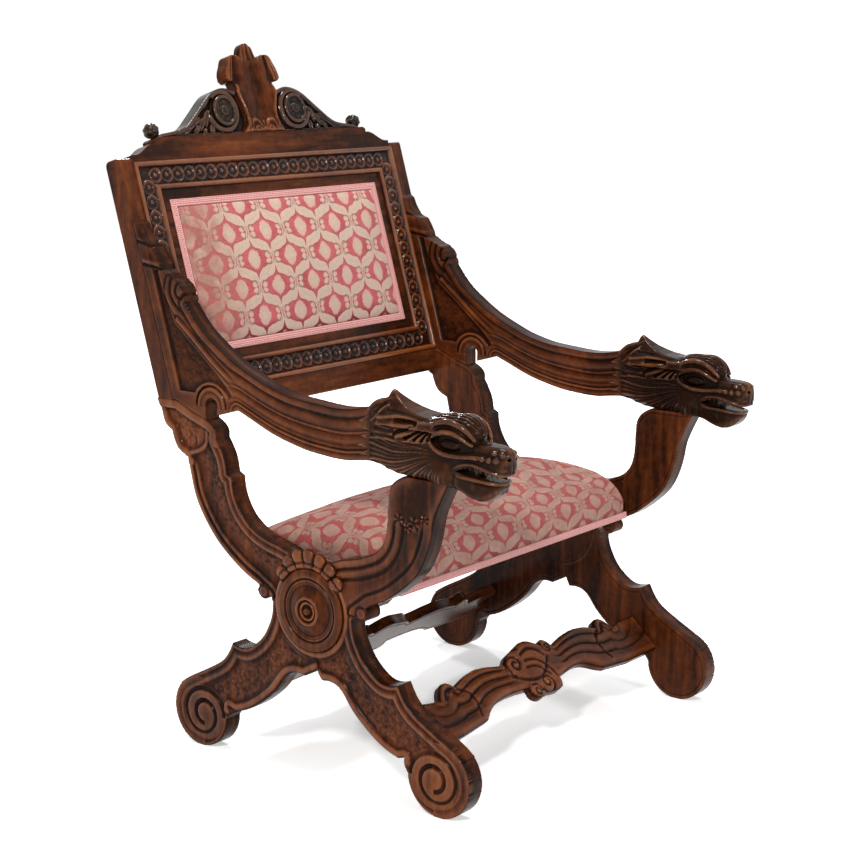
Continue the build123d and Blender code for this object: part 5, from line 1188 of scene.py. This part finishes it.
def damask(name, k=1.0, t=1.0):
    """Silk damask: cream scrolls along an ogee net with a medallion in each mesh, on a rose ground; millimetres."""
    s = Shader(bpy.data.materials.new(name))
    m = s.math
    place = s.attribute("cloth", "Vector")
    xyz = s.node("SeparateXYZ", Vector=place)
    wobble = s.node("SeparateXYZ", Vector=s.node("TexNoise", Vector=place, Scale=0.05, Detail=2.0).outputs["Color"])
    jitter = s.node("SeparateXYZ", Vector=s.node("TexNoise", Vector=place, Scale=0.5, Detail=2.0).outputs["Color"])

    def shaken(i):
        """Coordinate i of the cloth with the slackness of the weave."""
        swung = m("ADD", xyz.outputs[i], m("MULTIPLY_ADD", wobble.outputs[i], 9.0, -4.5))
        return m("ADD", swung, m("MULTIPLY_ADD", jitter.outputs[i], 2.0, -1.0))

    def band(value, soft):
        """0 below zero to 1 above it, over a soft edge."""
        return s.smoothstep(value, -soft, soft)

    def lines(distance, wide, soft):
        return band(m("SUBTRACT", wide, m("ABSOLUTE", distance)), soft)

    def radius(a, b):
        return m("SQRT", m("ADD", m("MULTIPLY", a, a), m("MULTIPLY", b, b)))

    def greatest(*values):
        return values[0] if len(values) == 1 else m("MAXIMUM", greatest(*values[:-1]), values[-1])

    u, v = m("PINGPONG", shaken(0), net_u), m("PINGPONG", shaken(1), net_v)
    du, dv = m("SUBTRACT", u, net_u / 2), m("SUBTRACT", v, net_v / 2)
    p = m("ADD", m("MULTIPLY", du, -0.68), m("MULTIPLY", dv, 0.733))
    q = m("ADD", m("MULTIPLY", du, 0.733), m("MULTIPLY", dv, 0.68))
    way = m("SIGN", p)
    p, q = m("ABSOLUTE", p), m("MULTIPLY", q, way)
    # leaf along the net: fat in its middle, thin at the nodes, with a curl beside each end
    middle = m("MULTIPLY", m("SINE", m("MULTIPLY", p, 0.0952)), -5.5)
    off = m("SUBTRACT", q, middle)
    slim = s.smoothstep(p, 7.0, 27.0, 10.2, 4.2)
    leaf_d = m("SUBTRACT", slim, m("ABSOLUTE", off))
    curl_r = radius(m("SUBTRACT", p, 20.5), m("SUBTRACT", q, 4.4))
    node_d = m("SUBTRACT", 4.6, radius(m("SUBTRACT", p, 33.0), q))
    shape = greatest(leaf_d, m("SUBTRACT", 6.0, curl_r), node_d)
    # medallion in each mesh: pointed oval with a serrated edge
    far = m("GREATER_THAN", m("ADD", m("DIVIDE", u, net_u), m("DIVIDE", v, net_v)), 1.0)
    mu = m("ABSOLUTE", m("SUBTRACT", u, m("MULTIPLY", far, net_u)))
    mv = m("ABSOLUTE", m("SUBTRACT", v, m("MULTIPLY", far, net_v)))
    angle = m("ARCTAN2", m("MULTIPLY", mv, 0.85), mu)
    size = m("ADD", m("POWER", m("DIVIDE", mu, 15.2), 1.8), m("POWER", m("DIVIDE", mv, 17.6), 1.3))
    ruffle = m("MULTIPLY", m("ABSOLUTE", m("SINE", m("MULTIPLY", angle, 9.0))), 0.26)
    medal_d = m("MULTIPLY", m("SUBTRACT", m("ADD", 0.84, ruffle), size), 9.0)
    medal = band(medal_d, 0.8)
    petal = m("MULTIPLY", lines(m("SUBTRACT", m("FRACT", m("MULTIPLY", angle, 2.865)), 0.5), 0.1, 0.12),
              m("MULTIPLY", band(m("SUBTRACT", size, 0.3), 0.2), medal))
    body = band(shape, 0.5)
    # dark lines that draw the curls, the seams, the spines and the ties of the leaves
    hook = m("MULTIPLY", lines(m("SUBTRACT", curl_r, 5.2), 1.2, 0.6),
             band(m("SUBTRACT", m("MULTIPLY_ADD", p, -0.5, 14.5), q), 1.5))
    seam = lines(m("SUBTRACT", m("ABSOLUTE", off), m("SUBTRACT", slim, -0.5)), 0.8, 0.7)
    spine = m("MULTIPLY", lines(off, 0.25, 0.4), band(m("SUBTRACT", 17.0, p), 2.0))
    ties = m("MULTIPLY", lines(off, 0.9, 0.7), band(m("SUBTRACT", p, 23.0), 1.5))
    outline = greatest(hook, m("MULTIPLY", seam, 0.75), m("MULTIPLY", spine, 0.45), m("MULTIPLY", ties, 0.8),
                       m("MULTIPLY", petal, 0.35))
    rim = m("MULTIPLY", m("MAXIMUM", shape, m("MULTIPLY", medal_d, 0.6)), 0.3)
    edge = m("SUBTRACT", 1.0, s.clamp(rim, 0.0, 1.0))
    mask = m("MAXIMUM", body, medal)
    yarn = s.noise(place, 0.9, 3.0, 0.6)
    patch = s.noise(place, 0.022, 3.0, 0.6)
    crisp = s.clamp(m("SUBTRACT", mask, m("MULTIPLY_ADD", yarn, 0.9, -0.4)), 0.0, 1.0)
    fleck = s.clamp(m("MULTIPLY_ADD", s.noise(place, 0.13, 5.0, 0.75), 3.6, -1.3), 0.0, 1.0)
    # k is the lightness of the cloth, below 1 for a copy with painted shade, t how far its green and blue rise
    ground = s.mix(m("MULTIPLY_ADD", patch, 1.8, -0.4), (0.3 * k, 0.03 * k * t, 0.045 * k * t),
                   (0.58 * k, 0.11 * k * t, 0.125 * k * t))
    ground = s.mix(m("MULTIPLY", fleck, 0.3), ground, (0.52 * k, 0.24 * k, 0.2 * k))
    cream = s.mix(fleck, (0.53 * k, (0.36 + 0.1 * t) * k, (0.26 + 0.1 * t) * k),
                  (0.72 * k, (0.38 + 0.12 * t) * k, (0.3 + 0.12 * t) * k))
    cream = s.mix(m("MULTIPLY_ADD", yarn, 1.2, 0.15), (0.34 * k, 0.26 * k, 0.19 * k), cream)
    cream = s.mix(edge, cream, (0.68 * k, 0.38 * k, 0.32 * k))
    colour = s.mix(crisp, ground, cream)
    colour = s.mix(m("MULTIPLY", outline, 0.8), colour, (0.16, 0.075, 0.06))
    # foot shade: painted shade that darkens the ground at the foot of a pad
    low = m("MULTIPLY", m("SUBTRACT", 1.0, crisp), m("MULTIPLY", s.attribute("dusk", "Fac"), 0.85))
    colour = s.mix(low, colour, (0.13, 0.01, 0.02))
    # pale patches: the colour fades in blotches to a grey beige, as far as each point's value for it allows
    blotches = m("MULTIPLY_ADD", s.noise(place, 0.03, 4.0, 0.65), 2.4, -0.45)
    paling = s.clamp(m("MULTIPLY", s.attribute("worn", "Fac"), blotches), 0.0, 0.8)
    clump = s.clamp(m("MULTIPLY_ADD", s.noise(place, 0.11, 5.0, 0.7), 4.5, -1.75), 0.0, 1.0)
    colour = s.mix(paling, colour, s.mix(clump, (0.42 * k, 0.085 * k, 0.085 * k), (0.25 * k, 0.18 * k, 0.125 * k)))
    cords = s.node("TexWave", Vector=place, Scale=0.75, Distortion=1.5, Detail=1.0).outputs["Fac"]
    bump = s.node("Bump", Strength=0.6, Distance=0.0008,
                  Height=m("ADD", m("MULTIPLY", mask, 0.8), m("MULTIPLY", cords, 0.25)))
    return s.finish(s.node("BsdfPrincipled", Base_Color=colour, Roughness=m("MULTIPLY_ADD", crisp, -0.2, 0.75),
                           Normal=bump.outputs[0], Sheen_Weight=0.12, Sheen_Roughness=0.4,
                           Sheen_Tint=(1.0, 0.6, 0.6, 1), Specular_IOR_Level=0.15))


def braid(name):
    """Pink gimp braid: a plaited ribbon of silk cord."""
    s = Shader(bpy.data.materials.new(name))
    m = s.math
    place = s.attribute("cloth", "Vector")
    xyz = s.node("SeparateXYZ", Vector=place)
    run = m("MULTIPLY", xyz.outputs[0], 1.7)
    across = xyz.outputs[1]
    zig = m("SINE", m("ADD", run, m("MULTIPLY", m("ABSOLUTE", m("SUBTRACT", across, 0.5)), 9.0)))
    rows = m("SINE", m("MULTIPLY", across, 25.0))
    height = m("ADD", m("MULTIPLY", zig, 0.5), m("MULTIPLY", rows, 0.4))
    fibre = s.noise(place, 1.7, 2.0, 0.6)
    # painted shade and light: the colour darkens in the dips between the cords and lightens on their crests
    f = m("ADD", m("MULTIPLY_ADD", height, 0.5, 0.54), m("MULTIPLY_ADD", fibre, 0.5, -0.25))
    colour = s.ramp(f, (0.1, (0.36, 0.07, 0.075)), (0.45, (0.82, 0.3, 0.28)), (0.85, (0.95, 0.52, 0.48)))
    bump = s.node("Bump", Strength=1.0, Distance=0.0015, Height=height)
    return s.finish(s.node("BsdfPrincipled", Base_Color=colour, Roughness=0.7, Normal=bump.outputs[0],
                           Sheen_Weight=0.3, Specular_IOR_Level=0.3))


damask_cloth = damask("rose_damask")
# the seat's damask: a darker, deeper red copy, with painted shade against the light on its upturned top
shaded_seat_cloth = damask("rose_damask_seat_shaded", 0.76, 0.45)
gimp_braid = braid("pink_gimp")
cloth_frames = 20                   # length of the simulation that blows up a pad


def puff(name, verts, faces, voxel, pinned, pressure, cap):
    """Pad blown up by a short cloth simulation, up to cap metres; pinned(points) says how firmly each is held."""
    mesh = bpy.data.meshes.new(name)
    mesh.from_pydata([tuple(p) for p in verts], [], faces)
    pad = add_object(name, mesh)
    for other in bpy.context.selected_objects:
        other.select_set(False)
    bpy.context.view_layer.objects.active = pad
    pad.select_set(True)
    if voxel:
        remesh = pad.modifiers.new("remesh", "REMESH")
        remesh.mode = "VOXEL"
        remesh.voxel_size = voxel
        bpy.ops.object.modifier_apply(modifier="remesh")
    start = np.array([v.co for v in pad.data.vertices])
    group = pad.vertex_groups.new(name="held")
    for i, weight in enumerate(pinned(start)):
        if weight > 0:
            group.add([i], float(weight), "REPLACE")
    cloth = pad.modifiers.new("cloth", "CLOTH")
    for key, value in (("quality", 6), ("mass", 0.25), ("tension_stiffness", 30), ("compression_stiffness", 30),
                       ("bending_stiffness", 0.8), ("use_pressure", True), ("uniform_pressure_force", pressure),
                       ("vertex_group_mass", "held")):
        setattr(cloth.settings, key, value)
    cloth.settings.effector_weights.gravity = 0
    cloth.collision_settings.use_collision = False
    cloth.point_cache.frame_start, cloth.point_cache.frame_end = 1, cloth_frames
    for f in range(1, cloth_frames + 1):
        bpy.context.scene.frame_set(f)
    bpy.ops.object.modifier_apply(modifier="cloth")
    bpy.context.scene.frame_set(1)
    move = np.array([v.co for v in pad.data.vertices]) - start
    far = np.linalg.norm(move, axis=1, keepdims=True)
    end = start + move * np.minimum(1.0, cap / np.maximum(far, 1e-9))
    pad.data.vertices.foreach_set("co", end.astype(np.float32).ravel())
    sub = pad.modifiers.new("sub", "SUBSURF")
    sub.levels = sub.render_levels = 1
    bpy.ops.object.modifier_apply(modifier="sub")
    pad.data.polygons.foreach_set("use_smooth", [True] * len(pad.data.polygons))
    return pad


def cloth_coords(piece, coords, **fields):
    """Place on the cloth, in millimetres, and other values for each point of a fabric."""
    place = piece.data.attributes.new("cloth", "FLOAT_VECTOR", "POINT")
    place.data.foreach_set("vector", coords.astype(np.float32).ravel())
    for name, values in fields.items():
        piece.data.attributes.new(name, "FLOAT", "POINT").data.foreach_set("value", values.astype(np.float32))


def block_faces(nx, ny):
    """Faces of a closed grid block: top sheet, bottom sheet and four sides."""
    faces = []
    top = lambda i, j: i * ny + j
    low = lambda i, j: nx * ny + i * ny + j
    for i in range(nx - 1):
        for j in range(ny - 1):
            faces.append((top(i, j), top(i + 1, j), top(i + 1, j + 1), top(i, j + 1)))
            faces.append((low(i, j), low(i, j + 1), low(i + 1, j + 1), low(i + 1, j)))
    for i in range(nx - 1):
        faces.append((top(i, 0), low(i, 0), low(i + 1, 0), top(i + 1, 0)))
        faces.append((top(i, ny - 1), top(i + 1, ny - 1), low(i + 1, ny - 1), low(i, ny - 1)))
    for j in range(ny - 1):
        faces.append((top(0, j), top(0, j + 1), low(0, j + 1), low(0, j)))
        faces.append((top(nx - 1, j), low(nx - 1, j), low(nx - 1, j + 1), top(nx - 1, j + 1)))
    return faces


def slab(a, b, high, low):
    """Points of a block: its upper sheet, then its lower one."""
    return np.concatenate([np.stack([a, b, c], 2).reshape(-1, 3) for c in (high, 0 * a + low)])


seat_half, seat_front, seat_back, seat_low = 312.0, -195.0, 136.0, 314.3
side_top = smooth([(-195, 353), (-193, 366), (-186, 381), (-173, 391), (-150, 399), (-100, 404),
                   (-55, 405), (20, 397), (60, 387), (100, 374), (125, 360), (136, 350.5)])
middle_top = smooth([(-195, 359), (-194, 374), (-187, 392), (-172, 404), (-150, 412), (-100, 421),
                     (-55, 421.5), (20, 405), (60, 391), (100, 377), (125, 363), (136, 352)])
ins = 0.8                           # the stuffing starts a little inside its cover
gx = np.linspace(-seat_half + ins, seat_half - ins, 79)
gy = np.linspace(seat_front + ins, seat_back - ins, 43)
px, py = np.meshgrid(gx, gy, indexing="ij")
bulge = 1 - np.abs(px / seat_half)**2.2
pz = (np.interp(py, side_top[:, 0], side_top[:, 1]) * (1 - bulge)
      + np.interp(py, middle_top[:, 0], middle_top[:, 1]) * bulge)
round_off = np.clip((seat_half - ins - np.abs(px)) / 14.0, 0, 1)
pz = pz - 9.0 * (1 - np.sqrt(1 - (1 - round_off)**2)) - 3.0
seat = puff("seat_pad_stuffed", slab(px, py, pz, seat_low) / 1000, block_faces(len(gx), len(gy)), voxel=0.0055,
            pinned=lambda q: np.clip((0.356 - q[:, 2]) / 0.008, 0, 1), pressure=4.5, cap=0.012)
co = np.array([v.co for v in seat.data.vertices]) * 1000
co = np.clip(co, (-seat_half - 5.0, seat_front - 6.0, 300.0), (seat_half + 5.0, seat_back + 6.0, 450.0))
seat.data.vertices.foreach_set("co", (co / 1000).astype(np.float32).ravel())
front_drop = np.maximum(0, 415 - co[:, 2]) * ramp(-co[:, 1], 120, 190)
side_drop = (np.maximum(0, np.interp(co[:, 1], side_top[:, 0], side_top[:, 1]) - co[:, 2])
             * ramp(np.abs(co[:, 0]), 270, 305))
cloth_coords(seat, np.stack([co[:, 0] + np.sign(co[:, 0]) * side_drop, -co[:, 1] + front_drop, 0 * co[:, 0]], 1),
             worn=np.zeros(len(co)) + 0.55, dusk=(1 - ramp(co[:, 2], 326, 342)) * 0.8)
seat.data.materials.append(shaded_seat_cloth)
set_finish(seat, "damask")
settle(seat, "seat_pad")

pad_half, pad_low, pad_high, pad_d = 247.7, 676.3, 909.7, -3.7
gx = np.linspace(-pad_half, pad_half, 83)
gs = np.linspace(pad_low, pad_high, 41)
px, ps = np.meshgrid(gx, gs, indexing="ij")
rise = np.minimum(np.minimum(pad_half - np.abs(px), ps - pad_low), pad_high - ps)
pd = 2.4 + 7.0 * (1 - np.exp(-rise / 20.0))


def to_frame(q):
    """Points (x, s, d) on the raked back, in millimetres, to the frame."""
    return raked_place((q, None, None))[0]


def from_frame(q):
    """(x, s, d) in millimetres of points of the frame."""
    y, z = q[:, 1] * 1000 - back_y, q[:, 2] * 1000
    return np.stack([q[:, 0] * 1000, y * sin_r + z * cos_r, z * sin_r - y * cos_r], 1)


def held_back(q):
    """The back pad is held along its rim and on its rear face."""
    p = from_frame(q)
    rim = np.minimum(np.minimum(pad_half - np.abs(p[:, 0]), p[:, 1] - pad_low), pad_high - p[:, 1])
    return np.maximum(np.clip((8.0 - rim) / 6.0, 0, 1), np.clip((-1.8 - p[:, 2]) / 1.0, 0, 1))


back_rest = puff("back_pad_stuffed", to_frame(slab(px, ps, pad_d + pd, pad_d)), block_faces(len(gx), len(gs)), voxel=0,
                 pinned=held_back, pressure=2.0, cap=0.004)
p = from_frame(np.array([v.co for v in back_rest.data.vertices]))
cloth_coords(back_rest, np.stack([p[:, 0] - 27.0, p[:, 1] - 855.0, 0 * p[:, 0]], 1),
             worn=1 - ramp(p[:, 0], -225, -120), dusk=1 - ramp(p[:, 1], 679, 706))
back_rest.data.materials.append(damask_cloth)
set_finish(back_rest, "damask")
settle(back_rest, "back_pad")


def gimp(name, node, corners, steps, spot, to_metres):
    """Braid along four sides; spot(a, along, run, share, w, h) gives a point and its way along the side."""
    verts, faces, coords = [], [], []
    m = len(steps)
    for k in range(4):
        a, b = np.array(corners[k]), np.array(corners[(k + 1) % 4])
        run = np.linalg.norm(b - a)
        count = int(run / 3.0)
        base = len(verts)
        for i in range(count + 1):
            for w, h in steps:
                point, t = spot(a, (b - a) / run, run, i / count, w, h)
                verts.append(point)
                coords.append((t, w, 0.0))
        for i in range(count):
            for j in range(m - 1):
                q = base + i * m + j
                faces.append((q, q + m, q + m + 1, q + 1))
    mesh = bpy.data.meshes.new(name)
    mesh.from_pydata(to_metres(np.array(verts)).tolist(), [], faces)
    mesh.polygons.foreach_set("use_smooth", [True] * len(faces))
    piece = add_object(name, mesh)
    cloth_coords(piece, np.array(coords))
    mesh.materials.append(gimp_braid)
    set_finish(piece, "gimp_braid")
    settle(piece, node)


def back_spot(a, along, run, share, w, h):
    """Across the back the braid runs inward from its outer line, mitred at the corners."""
    wide = 13.0 * w
    t = wide + (run - 2 * wide) * share
    p = a + along * t + np.array([-along[1], along[0]]) * wide
    return (p[0], p[1], pad_d + 2.6 * h), t


def seat_spot(a, along, run, share, w, h):
    """Round the seat it stands up along the lower edge and bulges outward."""
    off = 0.2 + 1.9 * h
    t = -off + (run + 2 * off) * share
    p = a + along * t + np.array([along[1], -along[0]]) * off
    return (p[0], p[1], seat_low + 12.0 * w), t


gimp("back_gimp_braid", "back_gimp", ((-261, 663), (261, 663), (261, 923), (-261, 923)),
     [(0, 0), (0.05, 0.8), (0.16, 1), (0.3, 0.7), (0.42, 0.95), (0.58, 0.95), (0.7, 0.7), (0.84, 1), (0.95, 0.8),
      (1, 0.2)], back_spot, to_frame)
gimp("seat_gimp_braid", "seat_gimp", ((-seat_half, seat_front), (seat_half, seat_front), (seat_half, seat_back),
                                      (-seat_half, seat_back)),
     [(0, 0.1), (0.06, 0.8), (0.18, 1), (0.32, 0.7), (0.44, 0.95), (0.58, 0.95), (0.7, 0.7), (0.84, 1), (0.95, 0.8),
      (1, 0)], seat_spot, lambda q: q / 1000)


# ------------------------------------------------------------------ webbing, dust cover and plain pieces
def weave(name, tones, pitch):
    """Coarse cloth of crossing yarns, pitch metres apart."""
    s = Shader(bpy.data.materials.new(name))
    m = s.math
    place = s.node("TexCoord").outputs["Object"]
    xyz = s.node("SeparateXYZ", Vector=place)
    turns = 2 * math.pi / pitch
    warp = m("SINE", m("MULTIPLY", xyz.outputs[0], turns))
    weft = m("SINE", m("MULTIPLY", xyz.outputs[1], turns))
    yarn = m("MULTIPLY", warp, weft)
    fuzz = s.noise(place, 900.0, 3.0, 0.6)
    # painted shade: the colour darkens where the yarns dip, as the bump does
    value = m("ADD", m("MULTIPLY_ADD", yarn, 0.25, 0.25), m("MULTIPLY", fuzz, 0.5))
    bump = s.node("Bump", Strength=0.8, Distance=0.0006, Height=value)
    return s.finish(s.node("BsdfPrincipled", Base_Color=s.ramp(value, *tones), Roughness=0.9, Normal=bump.outputs[0],
                           Specular_IOR_Level=0.2))


jute = weave("jute", [(0.15, (0.16, 0.1, 0.05)), (0.5, (0.36, 0.25, 0.14)), (0.85, (0.5, 0.37, 0.23))], 0.0032)
black_cotton = weave("black_cotton",
                     [(0.15, (0.01, 0.009, 0.009)), (0.5, (0.024, 0.022, 0.021)), (0.85, (0.05, 0.047, 0.045))],
                     0.0016)


def cloth_piece(name, blocks, material, slot_name):
    """Piece of closed thin strips; each of blocks is its upper grid of points, with one thickness."""
    verts, faces = [], []
    for upper, deep in blocks:
        first = len(verts)
        flat = upper.reshape(-1, 3)
        verts += flat.tolist() + (flat - (0, 0, deep)).tolist()
        faces += [tuple(first + i for i in f) for f in block_faces(*upper.shape[:2])]
    mesh = bpy.data.meshes.new(name)
    mesh.from_pydata((np.array(verts) / 1000).tolist(), [], faces)
    mesh.materials.append(material)
    piece = add_object(name, mesh)
    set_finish(piece, slot_name)
    return piece


strap_x, strap_y = (-216.0, -72.0, 72.0, 216.0), (-122.0, -32.0, 58.0)
half_strap = 25.0                   # half the width of a strap


def wavy(gx, gy, over):
    """Upper face of a strap that passes over and under the others."""
    return np.stack([gx, gy, 349.15 + 0.4 * np.repeat(np.sin(over * math.pi / 2)[:, None], 6, 1)], 2), 0.7


straps = []
for j, y in enumerate(strap_y):
    x = np.linspace(-304, 304, 120)
    gx, gy = np.meshgrid(x, np.linspace(y - half_strap, y + half_strap, 6), indexing="ij")
    straps.append(wavy(gx, gy, np.interp(x, strap_x, [(-1.0)**(i + j) for i in range(4)])))
for i, x in enumerate(strap_x):
    y = np.linspace(-184, 125, 70)
    gy, gx = np.meshgrid(y, np.linspace(x + half_strap, x - half_strap, 6), indexing="ij")
    straps.append(wavy(gx, gy, np.interp(y, strap_y, [-(-1.0)**(i + j) for j in range(3)])))
webbing = cloth_piece("jute_straps", straps, jute, "jute_webbing")
settle(webbing, "seat_webbing")

gx, gy = np.meshgrid(np.linspace(-288, 288, 97), np.linspace(-174, 115, 49), indexing="ij")
rim = np.minimum(288 - np.abs(gx), np.minimum(gy + 174, 115 - gy))
sag = 3.5 * ramp(rim, 12, 90) + 0.25 * np.sin(gx / 9.0) * (1 - ramp(rim, 5, 40)) + 0.2
under = cloth_piece("dust_cloth_sheet", [(np.stack([gx, gy, 314.0 - 0.1 - sag], 2), 0.7)], black_cotton, "dust_cloth")
under.data.polygons.foreach_set("use_smooth", [True] * len(under.data.polygons))
settle(under, "dust_cover")

plain_up = wood("walnut_plain_upright", (9.0, 9.0, 1.2), rough=0.22, level=0.42)
plain_across = wood("walnut_plain_across", (1.2, 9.0, 9.0), rough=0.22, level=0.41)
beech = wood("beech", (1.5, 9.0, 9.0), beech_tones, 0.3, 0.5, 0.3)
upright = ("back_stile_l", "back_stile_r")
bare = ("seat_rail_front", "seat_rail_rear", "seat_rail_l", "seat_rail_r", "stile_dowel_l", "stile_dowel_r",
        "arm_dowel_l", "arm_dowel_r")
for name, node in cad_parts.items():
    if not node.hide_render:
        node.data.materials.clear()
        node.data.materials.append(plain_up if name in upright else beech if name in bare else plain_across)

bpy.context.scene.view_settings.view_transform = "Standard"
